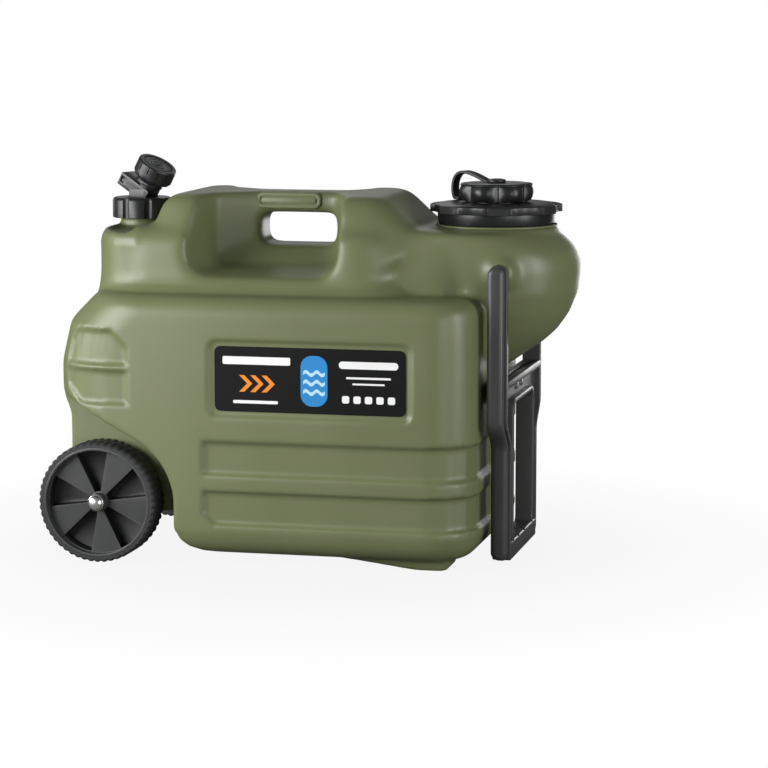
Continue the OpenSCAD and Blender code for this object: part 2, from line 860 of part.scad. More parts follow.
// Domed push-on cap at one end of the axle
module axle_cap(s) {
    start = track_in / 2 + wheel_w + seal_gap;
    r = axle_cap_d / 2;
    color(steel)
        on_axle(s)
            translate([0, 0, start])
                difference() {
                    intersection() {
                        cylinder(r = r, h = axle_cap_h);
                        translate([0, 0, axle_cap_h - r * 1.25]) sphere(r * 1.25);
                    }
                    translate([0, 0, -1])
                        cylinder(d = axle_d + 2 * fit_gap, h = axle_cap_h / 2 - seal_gap + 1 + fit_gap);
                }
}

module front_axle_cap() { axle_cap(-1); }

module rear_axle_cap() { axle_cap(1); }

// Half outline of the handle's frame in Y-Z, for one side, w in from its outer edge
function handle_side(w) = [
    [arm_gap / 2 + arm_w - w, pivot_z],
    [arm_gap / 2 + arm_w - w, step_z + step_h / 2],
    for (i = [1:7])
        [arm_gap / 2 + arm_w - w - arm_step * (1 - cos(i * 22.5)) / 2, step_z + step_h * (0.5 - i / 8)],
    [arm_gap / 2 + arm_w - w - arm_step, step_z - step_h / 2],
    [arm_gap / 2 + arm_w - w - arm_step, handle_z + w]];

module handle_frame() {
    side = handle_side(0);
    polygon(concat(side, [for (i = [len(side) - 1:-1:0]) [-side[i][0], side[i][1]]]));
}

module pull_handle() {
    x0 = pivot_x - arm_t / 2;
    x1 = pivot_x + arm_t / 2;
    web_x0 = pivot_x - web_t / 2;
    web_x1 = pivot_x + web_t / 2;
    in_top = arm_gap / 2;
    in_low = arm_gap / 2 - arm_step;
    loop_r = 8;
    pocket_z = handle_z + bar_t + rib_h;
    color(black)
        difference() {
            along_x(x0, x1) handle_frame();
            along_y(-tank_d, tank_d)
                difference() {
                    translate([x0 - 1, pivot_z - 0.001]) square([arm_t + 2, arm_t]);
                    translate([pivot_x, pivot_z]) circle(arm_t / 2);
                }
            along_x(x0 - 1, x1 + 1) {
                translate([-in_top, web_z]) square([arm_gap, pivot_z]);
                round_rect(-loop_w / 2, loop_w / 2, handle_z + bar_t, loop_z, loop_r);
            }
            for (x = [[x0 - 1, web_x0], [web_x1, x1 + 1]])
                along_x(x[0], x[1])
                    difference() {
                        polygon([[-in_top, web_z - rib_h], [in_top, web_z - rib_h],
                                 [in_top, step_z + step_h / 2], [in_low, step_z - step_h / 2],
                                 [in_low, pocket_z], [-in_low, pocket_z],
                                 [-in_low, step_z - step_h / 2], [-in_top, step_z + step_h / 2]]);
                        round_rect(-loop_w / 2 - rib_h, loop_w / 2 + rib_h, handle_z, loop_z + rib_h,
                                   loop_r + rib_h);
                    }
            for (s = [-1, 1])
                translate([pivot_x, s * in_top, pivot_z])
                    rotate([-s * 90, 0, 0])
                        translate([0, 0, -1])
                            cylinder(d = pin_d + 2 * fit_gap, h = pin_bury + fit_gap);
            bumper_holes(web_x1);
        }
}

// Screw holes through the web
module bumper_holes(x) {
    for (y = [-screw_y, screw_y])
        translate([x + 1, y, bumper_z])
            rotate([0, -90, 0])
                cylinder(d = screw_d + 2 * fit_gap, h = web_t + 2);
}

module handle_pins() {
    color(steel)
        for (s = [-1, 1])
            translate([pivot_x, s * arm_gap / 2, pivot_z])
                rotate([-s * 90, 0, 0])
                    translate([0, 0, -pin_bury])
                        cylinder(d = pin_d, h = 2 * pin_bury - 1);
}

module handle_bumper() {
    x0 = end_x + run_gap;
    x1 = pivot_x - web_t / 2;
    half_w = screw_y + 8;
    half_h = (web_z - rib_h - bumper_z) - 0.5;
    color(rubber)
        difference() {
            along_x(x0, x1) round_rect(-half_w, half_w, bumper_z - half_h, bumper_z + half_h, half_h - 0.5);
            for (y = [-screw_y, screw_y])
                translate([x1 + 1, y, bumper_z])
                    rotate([0, -90, 0])
                        cylinder(d = screw_d + 2 * fit_gap, h = 6);
        }
}

module bumper_screws() {
    head_d = 7;
    head_t = 2.4;
    web_x1 = pivot_x + web_t / 2;
    color(steel)
        for (y = [-screw_y, screw_y])
            translate([web_x1, y, bumper_z])
                rotate([0, 90, 0])
                    difference() {
                        union() {
                            intersection() {
                                cylinder(d = head_d, h = head_t);
                                translate([0, 0, head_t - head_d]) sphere(head_d);
                            }
                            translate([0, 0, -web_t - 4]) cylinder(d = screw_d, h = web_t + 4);
                        }
                        for (a = [0, 90])
                            rotate([0, 0, a])
                                translate([-2, -0.5, head_t - 1]) cube([4, 1, 2]);
                    }
}

// Strap arch seen from the front, from the post on the lid to the vent cap's button
strap_top_z = lid_top_z + tether_h - tether_t / 2;
strap = [[tether_x0 - post_ring_r + 1, tether_z0 + tether_t / 2],
         [tether_x0 - 10, tether_z0 + 10],
         [tether_x0 - 8, strap_top_z],
         [tether_x0 + 7, strap_top_z],
         [tether_x0 + 17, strap_top_z],
         [fill_x - button_ring_r - 8, tether_z + tether_t / 2 + 3],
         [fill_x - button_ring_r + 1, tether_z + tether_t / 2]];
function curve(p, u) = pow(1 - u, 3) * p[0] + 3 * u * pow(1 - u, 2) * p[1]
                       + 3 * u * u * (1 - u) * p[2] + pow(u, 3) * p[3];
strap_steps = 8;
strap_mid = concat([for (i = [0:strap_steps]) curve([strap[0], strap[1], strap[2], strap[3]], i / strap_steps)],
                   [for (i = [1:strap_steps]) curve([strap[3], strap[4], strap[5], strap[6]], i / strap_steps)]);
function unit(v) = v / norm(v);
function strap_side(i) =
    let (a = strap_mid[max(i - 1, 0)], b = strap_mid[min(i + 1, len(strap_mid) - 1)], d = unit(b - a))
    [-d[1], d[0]] * tether_t / 2;

module cap_tether() {
    n = len(strap_mid) - 1;
    color(black) {
        difference() {
            union() {
                along_y(-tether_w / 2, tether_w / 2)
                    polygon(concat([for (i = [0:n]) strap_mid[i] + strap_side(i)],
                                   [for (i = [n:-1:0]) strap_mid[i] - strap_side(i)]));
                translate([tether_x0, 0, tether_z0]) cylinder(r = post_ring_r, h = tether_t);
                translate([fill_x, 0, tether_z]) cylinder(r = button_ring_r, h = tether_t);
            }
            translate([tether_x0, 0, tether_z0 - 1])
                cylinder(r = post_shaft_r + run_gap, h = tether_t + 1.5);
            translate([fill_x, 0, tether_z - 1])
                cylinder(r = button_shaft_r + run_gap, h = tether_t + 2);
        }
    }
}

module tether_button() {
    head_t = 1.4;
    color(black)
        translate([fill_x, 0, vent_top_z]) {
            cylinder(r = button_shaft_r, h = tether_t + 2 * run_gap);
            translate([0, 0, tether_t + 2 * run_gap])
                intersection() {
                    cylinder(r = button_shaft_r + 3, h = head_t);
                    translate([0, 0, head_t - 20]) sphere(20);
                }
        }
}

// Screw lid: skirt over the neck, tabbed rim, and the vent neck on top
module main_lid() {
    rim_low_z = lid_top_z - lid_rim_t;
    rim_d = lid_d + 5;
    tab_w = lid_d * 0.22;
    scallop_r = 30;
    post_h = tether_t + 3 * run_gap + 1;
    post_head_t = 1.4;
    color(black)
        translate([fill_x, 0, 0])
            difference() {
                union() {
                    translate([0, 0, lid_low_z]) cylinder(d = lid_d, h = lid_top_z - lid_low_z - 1);
                    translate([0, 0, rim_low_z]) cylinder(d = rim_d, h = lid_rim_t - 1);
                    translate([0, 0, lid_top_z - 1.01]) cylinder(d1 = rim_d, d2 = lid_d, h = 1.01);
                    for (i = [0:lid_tab_n - 1])
                        rotate([0, 0, 180 + i * 360 / lid_tab_n])
                            translate([0, 0, rim_low_z])
                                intersection() {
                                    cylinder(d = lid_tab_d, h = lid_rim_t - 1.5);
                                    translate([lid_d / 4, -tab_w / 2, -1])
                                        cube([lid_d / 2, tab_w, lid_rim_t]);
                                }
                    translate([0, 0, lid_top_z - 1]) cylinder(d = vent_d, h = vent_h + 1);
                }
                translate([0, 0, lid_low_z - 1]) cylinder(r = lid_in_r, h = lid_under_z - lid_low_z + 1);
                translate([0, 0, lid_low_z]) cylinder(r = vent_bore_r, h = vent_rim_z - lid_low_z + 1);
                for (i = [0:lid_tab_n - 1])
                    rotate([0, 0, 180 + (i + 0.5) * 360 / lid_tab_n])
                        translate([lid_d / 2 + scallop_r + 0.6, 0, rim_low_z - 1])
                            cylinder(r = scallop_r, h = lid_rim_t + 2);
            }
    color(black)
        translate([tether_x0, 0, lid_top_z - 1]) {
            cylinder(r = post_shaft_r, h = post_h);
            translate([0, 0, post_h])
                intersection() {
                    cylinder(r = post_shaft_r + 1.6, h = post_head_t);
                    translate([0, 0, post_head_t - 9]) sphere(9);
                }
        }
}

module lid_seal() {
    color(rubber)
        translate([fill_x, 0, seal_z]) ring(lid_in_r - run_gap, fill_bore_r - 1, seal_t);
}

// Vent cap with lobes that shrink towards its lower edge
module vent_cap() {
    low_z = lid_top_z + 2 * run_gap;
    skirt_r = vent_in_r + 3;
    lobe_r = 13;
    lobe_h = vent_top_z - low_z;
    color(black)
        translate([fill_x, 0, 0])
            difference() {
                union() {
                    translate([0, 0, low_z]) cylinder(r = skirt_r, h = lobe_h);
                    for (i = [0:vent_lobe_n - 1])
                        rotate([0, 0, -93 + (i + 0.5) * 360 / vent_lobe_n])
                            translate([vent_cap_d / 2 - lobe_r, 0, low_z + 2])
                                cylinder(r1 = lobe_r - 4, r2 = lobe_r, h = lobe_h - 3.5);
                    translate([0, 0, vent_top_z - 1.5])
                        cylinder(r1 = vent_cap_d / 2 - 3, r2 = vent_cap_d / 2 - 5, h = 1.5);
                }
                translate([0, 0, low_z - 1]) cylinder(r = vent_in_r, h = vent_under_z - low_z + 1);
            }
}

module vent_seal() {
    color(rubber)
        translate([fill_x, 0, vent_seal_z]) ring(vent_in_r - run_gap, vent_bore_r, vent_seal_t);
}

// Collar nut that clamps the tap on its neck
module tap_collar() {
    low_z = collar_top_z - collar_h;
    groove_r = 4.2;
    chamfer = 2;
    color(black)
        translate([tap_x, 0, 0])
            difference() {
                union() {
                    translate([0, 0, low_z]) cylinder(d = collar_d, h = collar_h - chamfer);
                    translate([0, 0, collar_top_z - chamfer])
                        cylinder(d1 = collar_d, d2 = collar_d - 2 * chamfer, h = chamfer);
                }
                translate([0, 0, low_z - 1]) cylinder(r = collar_in_r, h = collar_lip_z - low_z + 1);
                translate([0, 0, low_z]) cylinder(r = stem_hole_r, h = collar_h + 1);
                for (i = [0:collar_n - 1])
                    rotate([0, 0, 6 + (i + 0.5) * 360 / collar_n])
                        translate([collar_d / 2 + 1.4, 0, low_z - 1])
                            cylinder(r = groove_r, h = collar_h + 2);
            }
}

module tap_seal() {
    color(rubber)
        translate([tap_x, 0, tap_seal_z]) ring(tap_neck_d / 2, tap_bore_r, tap_seal_t);
}

// Valve frame: +Z along the leaning valve axis, -X along the spout
module on_valve() {
    translate([tap_x, 0, valve_z]) rotate([0, 0, tap_turn]) rotate([0, tap_lean, 0]) children();
}

module tap_body() {
    stem_top = valve_z + stem_rise;
    color(black)
        difference() {
            union() {
                translate([tap_x, 0, flange_z]) cylinder(r = collar_in_r - run_gap, h = flange_t);
                translate([tap_x, 0, tap_rim_z - spigot_h])
                    cylinder(r = tap_bore_r - run_gap, h = flange_z - tap_rim_z + spigot_h + 0.5);
                translate([tap_x, 0, flange_z + 1])
                    rotate([0, 0, tap_turn])
                        translate([-stem_w / 2, -stem_w / 2, 0]) cube([stem_w, stem_w, stem_top - flange_z - 1]);
                on_valve() {
                    translate([0, 0, -3]) cylinder(d = barrel_d, h = barrel_s + 3);
                    translate([-spout_l, -spout_w / 2, spout_s - spout_t / 2])
                        cube([spout_l, spout_w, spout_t]);
                }
            }
            translate([tap_x, 0, tap_rim_z - spigot_h - 1])
                cylinder(r = inlet_r, h = valve_z + inlet_top - tap_rim_z + spigot_h + 1);
            on_valve() {
                translate([0, 0, -3.5]) cylinder(r = seat_r, h = seat_s + 4);
                translate([0, 0, seat_s]) cylinder(r = chamber_r, h = barrel_s);
                translate([0, 0, outlet_s])
                    rotate([0, -90, 0]) cylinder(d = outlet_d, h = spout_l + 1);
                translate([-spout_l - 1, -spout_w / 2 + 2.2, spout_s - spout_t / 2 + 1.6])
                    cube([3, spout_w - 4.4, spout_t - 3.2]);
            }
        }
}

module tap_gland() {
    color(black)
        on_valve()
            translate([0, 0, barrel_s])
                difference() {
                    union() {
                        cylinder(d = gland_d, h = gland_t);
                        translate([0, 0, -3]) cylinder(r = chamber_r - fit_gap, h = 3.5);
                    }
                    translate([0, 0, -4]) cylinder(d = spindle_d + 2 * run_gap, h = gland_t + 6);
                }
}

module tap_washer() {
    color(rubber)
        on_valve()
            translate([0, 0, seat_s + seal_gap]) cylinder(r = washer_r, h = washer_t);
}

module tap_spindle() {
    low = seat_s + seal_gap + washer_t + seal_gap;
    color(steel)
        on_valve()
            translate([0, 0, low]) cylinder(d = spindle_d, h = knob_s + knob_h / 2 - low);
}

module tap_knob() {
    notch_r = 1.5;
    color(black)
        on_valve()
            translate([0, 0, knob_s])
                difference() {
                    rotate_extrude()
                        polygon([[0, 0], [knob_d / 2 - 2, 0], [knob_d / 2, 2], [knob_d / 2, knob_h - 2],
                                 [knob_d / 2 - 1.5, knob_h], [0, knob_h]]);
                    for (i = [0:knob_n - 1])
                        rotate([0, 0, (i + 0.5) * 360 / knob_n])
                            translate([knob_d / 2 + 0.3, 0, -1]) cylinder(r = notch_r, h = knob_h - 2.5);
                    translate([0, 0, knob_h - disc_t]) cylinder(r = disc_r, h = disc_t + 1);
                    translate([0, 0, -1]) cylinder(d = spindle_d + 2 * fit_gap, h = knob_h / 2 + 1 + fit_gap);
                }
}

module knob_disc() {
    color(black)
        on_valve()
            translate([0, 0, knob_s + knob_h - disc_t])
                difference() {
                    cylinder(r = disc_r - fit_gap, h = disc_t - 0.6);
                    translate([0, 0, disc_t - 1.1]) ring(disc_r * 0.7, disc_r * 0.45, 1);
                }
}

tank_body();
label_plate();
axle();
axle_washers();
front_wheel_hub();
rear_wheel_hub();
front_tyre();
rear_tyre();
front_axle_cap();
rear_axle_cap();
pull_handle();
handle_pins();
handle_bumper();
bumper_screws();
main_lid();
lid_seal();
vent_cap();
vent_seal();
cap_tether();
tether_button();
tap_collar();
tap_seal();
tap_body();
tap_gland();
tap_spindle();
tap_washer();
tap_knob();
knob_disc();
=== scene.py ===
# %% [markdown]
# A rolling water carrier is a blown plastic tank on two wheels, with a carry grip
# on top, a swinging pull handle at one end, a big screw lid and a small tap.
# The construction model gives every piece its place. This script only dresses it:
# each rigid piece but the smallest is modelled again with soft edges, and every piece gets a real material.

# %% Load the frame
import json
import math
import bmesh
import bpy
from mathutils import Matrix, Vector


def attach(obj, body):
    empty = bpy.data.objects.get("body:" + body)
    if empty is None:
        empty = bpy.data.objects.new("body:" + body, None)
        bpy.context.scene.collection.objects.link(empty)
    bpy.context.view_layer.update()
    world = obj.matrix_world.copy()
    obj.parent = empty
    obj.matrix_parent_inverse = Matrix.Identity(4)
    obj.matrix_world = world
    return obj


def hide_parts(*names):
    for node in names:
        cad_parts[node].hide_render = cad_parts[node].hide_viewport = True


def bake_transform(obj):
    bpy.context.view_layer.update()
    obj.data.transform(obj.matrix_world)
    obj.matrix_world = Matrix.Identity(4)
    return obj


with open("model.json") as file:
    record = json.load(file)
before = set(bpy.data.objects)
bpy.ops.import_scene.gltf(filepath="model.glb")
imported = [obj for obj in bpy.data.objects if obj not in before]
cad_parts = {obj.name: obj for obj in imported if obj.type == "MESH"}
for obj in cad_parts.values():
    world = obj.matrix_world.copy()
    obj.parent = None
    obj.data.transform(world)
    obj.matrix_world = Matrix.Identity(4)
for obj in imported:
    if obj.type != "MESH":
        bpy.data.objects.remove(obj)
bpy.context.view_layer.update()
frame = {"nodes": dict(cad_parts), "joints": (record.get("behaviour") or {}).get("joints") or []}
joints = {joint["name"]: joint for joint in frame["joints"]}
MM = 0.001

# %% [markdown]
# The camera comes first, because every later look is judged through it. The
# photograph was taken with a long lens from the front, a little to the right and a
# little above. A long lens keeps upright edges almost parallel.

# %% Camera
scene = bpy.context.scene
scene.view_settings.view_transform = "Standard"
LENS_MM = 131.25
SENSOR_MM = 36
view_azimuth = math.radians(13)
view_elevation = math.radians(7.8)
view_target = Vector((57.2, 0, 161.9)) * MM
view_distance = 2.747
away = Vector((math.sin(view_azimuth) * math.cos(view_elevation),
               -math.cos(view_azimuth) * math.cos(view_elevation),
               math.sin(view_elevation)))
camera_data = bpy.data.cameras.new("camera")
camera_data.lens = LENS_MM
camera_data.sensor_width = SENSOR_MM
camera = bpy.data.objects.new("camera", camera_data)
camera.location = view_target + away * view_distance
camera.rotation_euler = away.to_track_quat("Z", "Y").to_euler()
scene.collection.objects.link(camera)
scene.camera = camera
print("camera at", [round(value, 3) for value in camera.location])

# %% [markdown]
# Materials are node trees. Two small helpers keep them readable: one turns the hex
# colour that a painter would write into the linear colour that the renderer needs,
# and one adds a node with its settings and links in a single line.

# %% Material helpers
def linear(hex_code):
    """An sRGB hex colour as linear red, green, blue and alpha."""
    values = [int(hex_code[i:i + 2], 16) / 255 for i in (1, 3, 5)]
    return [v / 12.92 if v <= 0.04045 else ((v + 0.055) / 1.055) ** 2.4 for v in values] + [1]


def add_node(material, kind, inputs=(), **settings):
    """Adds a node, sets its options, and fills its inputs with values or sockets."""
    node = material.node_tree.nodes.new(kind)
    for key, value in settings.items():
        setattr(node, key, value)
    for key, value in dict(inputs).items():
        if isinstance(value, bpy.types.NodeSocket):
            material.node_tree.links.new(value, node.inputs[key])
        else:
            node.inputs[key].default_value = value
    return node


def new_material(name):
    """An empty material and the place of each point on its piece."""
    material = bpy.data.materials.new(name)
    material.use_nodes = True
    material.node_tree.nodes.clear()
    place = add_node(material, "ShaderNodeTexCoord").outputs["Object"]
    return material, place


def per_metre(size_mm):
    """Texture scale at which one pattern cell is about that many millimetres wide."""
    return 1 / (size_mm * MM)


def finish_material(material, shader):
    """Wires the shader to the output."""
    add_node(material, "ShaderNodeOutputMaterial", {"Surface": shader.outputs[0]})
    print("material", material.name, len(material.node_tree.nodes), "nodes")
    return material


# %% [markdown]
# The photograph stands on pure white. Here the camera sees the sky and the far floor as
# plain white, while the light they really give stays low, so the black mouldings keep
# their depth. Close to the object the floor keeps a faint soft shadow. A near soft box
# at the front left makes the walls bright on the left and darker to the right.

# %% Studio
def seen_by_camera(material):
    """A mask that is 1 for rays straight from the camera."""
    return add_node(material, "ShaderNodeLightPath").outputs["Is Camera Ray"]


SKY_LIGHT = 0.15
SHADOW_SHARE = 0.1
SHADOW_NEAR = 0.2
SHADOW_FAR = 0.55
FLOOR_HALF = 12
world = bpy.data.worlds.new("studio_sky")
world.use_nodes = True
world.node_tree.nodes.clear()
sky_strength = add_node(world, "ShaderNodeMapRange", {"Value": seen_by_camera(world), "To Min": SKY_LIGHT,
                                                      "To Max": 1.0})
sky = add_node(world, "ShaderNodeBackground",
               {"Color": linear("#FFFFFF"), "Strength": sky_strength.outputs[0]})
add_node(world, "ShaderNodeOutputWorld", {"Surface": sky.outputs[0]})
scene.world = world

floor_paint, floor_place = new_material("pale_floor")
floor_matt = add_node(floor_paint, "ShaderNodeBsdfDiffuse", {"Color": linear("#7C7C7A")})
floor_white = add_node(floor_paint, "ShaderNodeEmission", {"Color": linear("#FFFFFF")})
floor_reach = add_node(floor_paint, "ShaderNodeVectorMath", {0: floor_place}, operation="LENGTH")
floor_fade = add_node(floor_paint, "ShaderNodeMapRange", {
    "Value": floor_reach.outputs["Value"], "From Min": SHADOW_NEAR, "From Max": SHADOW_FAR,
    "To Min": 1 - SHADOW_SHARE})
floor_share = add_node(floor_paint, "ShaderNodeMath",
                       {0: seen_by_camera(floor_paint), 1: floor_fade.outputs[0]}, operation="MULTIPLY")
finish_material(floor_paint, add_node(floor_paint, "ShaderNodeMixShader", {
    0: floor_share.outputs[0], 1: floor_matt.outputs[0], 2: floor_white.outputs[0]}))

floor_mesh = bmesh.new()
bmesh.ops.create_grid(floor_mesh, x_segments=1, y_segments=1, size=FLOOR_HALF)
floor_data = bpy.data.meshes.new("floor")
floor_mesh.to_mesh(floor_data)
floor_mesh.free()
floor_data.materials.append(floor_paint)
floor = bpy.data.objects.new("floor", floor_data)
scene.collection.objects.link(floor)


def soft_box(name, place, size, watts, height=None):
    """A square or upright area lamp that looks at the middle of the tank."""
    lamp = bpy.data.lights.new(name, "AREA")
    lamp.shape = "RECTANGLE"
    lamp.size = size
    lamp.size_y = height or size
    lamp.energy = watts
    box = bpy.data.objects.new(name, lamp)
    box.location = place
    box.rotation_euler = (Vector(place) - view_target).to_track_quat("Z", "Y").to_euler()
    scene.collection.objects.link(box)


soft_box("key_box", (-1.05, -0.95, 0.6), 0.6, 13)
soft_box("left_box", (-1.25, -0.4, 0.45), 0.5, 6)
soft_box("sheen_box", (-0.5, -0.75, 0.28), 0.3, 2.6)
soft_box("fill_box", (1.2, -1.5, 0.25), 0.5, 5.5)
soft_box("right_box", (1.3, -0.5, 0.35), 0.25, 9, 0.9)
soft_box("rear_box", (0.4, 1.5, 0.2), 0.6, 5)
soft_box("back_box", (-0.5, 1.6, 1.1), 0.9, 2)
print("studio ready")

# %% [markdown]
# The tank is high-density polyethylene, blown into a mould. The mould leaves a fine
# even grain, so light spreads into broad soft highlights, and the thick wall cools
# with slow waves. Corners rub pale with use.

# %% Olive polyethylene
CLOUD_MM = 90
WAVE_MM = 45
GLOSS_SWING = 0.05


def moulded_plastic(name, colours, roughness, grain_mm, grain_depth_mm, rub):
    """Moulded plastic: two close shades, a fine grain, slow waves and pale rubbed corners."""
    material, place = new_material(name)
    dark, light, worn = (linear(code) for code in colours)
    clouds = add_node(material, "ShaderNodeTexNoise",
                      {"Vector": place, "Scale": per_metre(CLOUD_MM), "Detail": 3.0})
    shade = add_node(material, "ShaderNodeMix", {"Factor": clouds.outputs["Fac"], "A": dark, "B": light},
                     data_type="RGBA")
    grain = add_node(material, "ShaderNodeTexNoise",
                     {"Vector": place, "Scale": per_metre(grain_mm), "Detail": 2.0})
    corner = add_node(material, "ShaderNodeMapRange", {
        "Value": add_node(material, "ShaderNodeNewGeometry").outputs["Pointiness"],
        "From Min": 0.53, "From Max": 0.62, "To Max": rub})
    patchy = add_node(material, "ShaderNodeMath", {0: corner.outputs[0], 1: clouds.outputs["Fac"]},
                      operation="MULTIPLY")
    colour = add_node(material, "ShaderNodeMix", {
        "Factor": patchy.outputs[0], "A": shade.outputs["Result"], "B": worn}, data_type="RGBA")
    gloss = add_node(material, "ShaderNodeMapRange", {
        "Value": clouds.outputs["Fac"], "From Min": 0.3, "From Max": 0.7,
        "To Min": roughness - GLOSS_SWING, "To Max": roughness + GLOSS_SWING})
    waves = add_node(material, "ShaderNodeTexNoise",
                     {"Vector": place, "Scale": per_metre(WAVE_MM), "Detail": 0.0})
    wavy = add_node(material, "ShaderNodeBump",
                    {"Height": waves.outputs["Fac"], "Strength": 0.25, "Distance": 0.6 * MM})
    bump = add_node(material, "ShaderNodeBump", {"Height": grain.outputs["Fac"], "Strength": 0.5,
                                                 "Distance": grain_depth_mm * MM, "Normal": wavy.outputs[0]})
    return finish_material(material, add_node(material, "ShaderNodeBsdfPrincipled", {
        "Base Color": colour.outputs["Result"], "Roughness": gloss.outputs[0], "IOR": 1.5,
        "Normal": bump.outputs[0]}))


# Polyethylene grain is about 0.5 mm; 1.2 mm is the finest that shows at this distance.
olive = moulded_plastic("olive_polyethylene", ("#656C4A", "#6D7451", "#8B9272"), 0.4, 1.2, 0.1, 0.5)

# %% [markdown]
# The black mouldings are polypropylene. They share the recipe with a finer grain and
# a slightly tighter gloss, and the wheels and strap are duller versions of it. The handle
# and wheel faces are a lighter black, a painted sheen, and the wheel pockets a darker one,
# a painted shade.

# %% Black mouldings
black = moulded_plastic("black_polypropylene", ("#161718", "#1D1E1F", "#454647"), 0.36, 0.8, 0.06, 0.5)
# Partly painted light: the handle gets a lighter black than the lid's, a painted sheen for the light along
# its arms.
handle_black_painted_sheen = moulded_plastic("handle_polypropylene_painted_sheen", ("#3A3B3B", "#424343", "#646565"),
                               0.38, 0.8, 0.06, 0.5)
# Partly painted light: the wheel faces get a lighter black than the lid's, a painted sheen for the light they
# catch.
wheel_black_painted_sheen = moulded_plastic("wheel_polypropylene_painted_sheen", ("#333434", "#3A3B3B", "#5C5D5E"),
                              0.44, 0.9, 0.08, 0.5)
# Painted shade: the wheel pockets get this darker black for the shadow that falls in them.
pocket_painted_shade = moulded_plastic("pocket_polypropylene_painted_shade", ("#161717", "#1B1C1C", "#2C2D2D"),
                               0.5, 0.9, 0.08, 0.2)
strap_black = moulded_plastic("soft_strap", ("#191A1B", "#1F2021", "#3A3B3C"), 0.5, 0.8, 0.06, 0.3)
tread = moulded_plastic("tread_rubber", ("#1C1D1E", "#242526", "#3C3D3E"), 0.6, 1.0, 0.15, 0.4)
knob_grey = moulded_plastic("knob_disc_plastic", ("#303234", "#383A3C", "#5A5B5D"), 0.34, 0.8, 0.05, 0.4)
seal = moulded_plastic("seal_rubber", ("#161718", "#1C1D1E", "#2C2D2E"), 0.55, 0.8, 0.05, 0.2)

# %% [markdown]
# The axle caps and screws are plated steel: a mirror with faint turning marks. The
# axle and pins are plain turned steel, so their marks are stronger and duller.

# %% Metals
MARK_MM = 0.6
HAZE_MM = 6


def turned_metal(name, tint, roughness, mark_depth_mm):
    """Steel with fine rings of turning marks and a slightly uneven gloss."""
    material, place = new_material(name)
    marks = add_node(material, "ShaderNodeTexNoise",
                     {"Vector": place, "Scale": per_metre(MARK_MM), "Detail": 2.0})
    haze = add_node(material, "ShaderNodeTexNoise",
                    {"Vector": place, "Scale": per_metre(HAZE_MM), "Detail": 2.0})
    gloss = add_node(material, "ShaderNodeMapRange", {
        "Value": haze.outputs["Fac"], "To Min": roughness * 0.6, "To Max": roughness * 1.4})
    bump = add_node(material, "ShaderNodeBump", {"Height": marks.outputs["Fac"], "Strength": 0.3,
                                                 "Distance": mark_depth_mm * MM})
    return finish_material(material, add_node(material, "ShaderNodeBsdfPrincipled", {
        "Base Color": linear(tint), "Metallic": 1.0, "Roughness": gloss.outputs[0],
        "Normal": bump.outputs[0]}))


chrome = turned_metal("plated_steel", "#F0F0EE", 0.26, 0.02)
steel = turned_metal("turned_steel", "#B4B8BC", 0.32, 0.05)

# %% [markdown]
# Every rigid piece is drawn in millimetres round its own axis, then laid into place.
# The helpers below cover what the pieces share: turning an outline, pressing faces in
# or out, rounding sharp edges, and handing the result over to the body it rides on.

# %% Modelling helpers
def turned(outline, steps, closed=True):
    """Spins an outline of radius and height pairs round the Z axis."""
    shape = bmesh.new()
    points = [shape.verts.new((radius, 0, height)) for radius, height in outline]
    lines = [shape.edges.new(pair) for pair in zip(points, points[1:])]
    if closed:
        lines.append(shape.edges.new((points[-1], points[0])))
    bmesh.ops.spin(shape, geom=points + lines, cent=(0, 0, 0), axis=(0, 0, 1), angle=math.tau,
                   steps=steps, use_merge=True)
    bmesh.ops.remove_doubles(shape, verts=shape.verts, dist=0.001)
    bmesh.ops.recalc_face_normals(shape, faces=shape.faces)
    return shape


def press(shape, faces, move):
    """Extrudes a patch of faces as one and moves it by a vector. Returns the moved faces."""
    rim = {edge for face in faces for edge in face.edges}
    corners = {vert for face in faces for vert in face.verts}
    made = bmesh.ops.extrude_face_region(shape, geom=list(faces) + list(rim) + list(corners))["geom"]
    moved = [part for part in made if isinstance(part, bmesh.types.BMVert)]
    bmesh.ops.translate(shape, vec=move, verts=moved)
    return [part for part in made if isinstance(part, bmesh.types.BMFace)]


def cut(shape, place, along):
    """Cuts every face that a plane crosses."""
    bmesh.ops.bisect_plane(shape, geom=shape.verts[:] + shape.edges[:] + shape.faces[:], plane_co=place,
                           plane_no=along)


def soften(shape, width, segments=2, angle=30):
    """Rounds every edge that is sharper than an angle in degrees."""
    bmesh.ops.recalc_face_normals(shape, faces=shape.faces)
    sharp = [edge for edge in shape.edges
             if edge.is_manifold and edge.calc_face_angle() > math.radians(angle)]
    bmesh.ops.bevel(shape, geom=sharp, offset=width, offset_type="OFFSET", segments=segments, profile=0.5,
                    affect="EDGES", clamp_overlap=True, material=-1)


def turn_of(face):
    """Angle of a face's middle round the Z axis, in degrees from 0 to 360."""
    middle = face.calc_center_median()
    return math.degrees(math.atan2(middle.y, middle.x)) % 360


def dress(piece, body, nodes):
    """Lets a piece ride on its body and stand for its construction nodes."""
    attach(piece, body)
    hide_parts(*nodes)
    print(piece.name, "on", body, len(piece.data.polygons), "faces")
    return piece


SHARP_ANGLE = math.radians(40)


def shape_object(name, shape, place, material):
    """Lays a shape in millimetres into place and makes it an object with a material."""
    bmesh.ops.transform(shape, matrix=Matrix.Scale(MM, 4) @ place, verts=shape.verts)
    bmesh.ops.recalc_face_normals(shape, faces=shape.faces)
    mesh = bpy.data.meshes.new(name)
    shape.to_mesh(mesh)
    shape.free()
    mesh.materials.append(material)
    mesh.shade_smooth()
    mesh.set_sharp_from_angle(angle=SHARP_ANGLE)
    piece = bpy.data.objects.new(name, mesh)
    scene.collection.objects.link(piece)
    return piece


def make_piece(name, shape, place, material, body, nodes):
    """A finished object that rides on a body."""
    return dress(shape_object(name, shape, place, material), body, nodes)


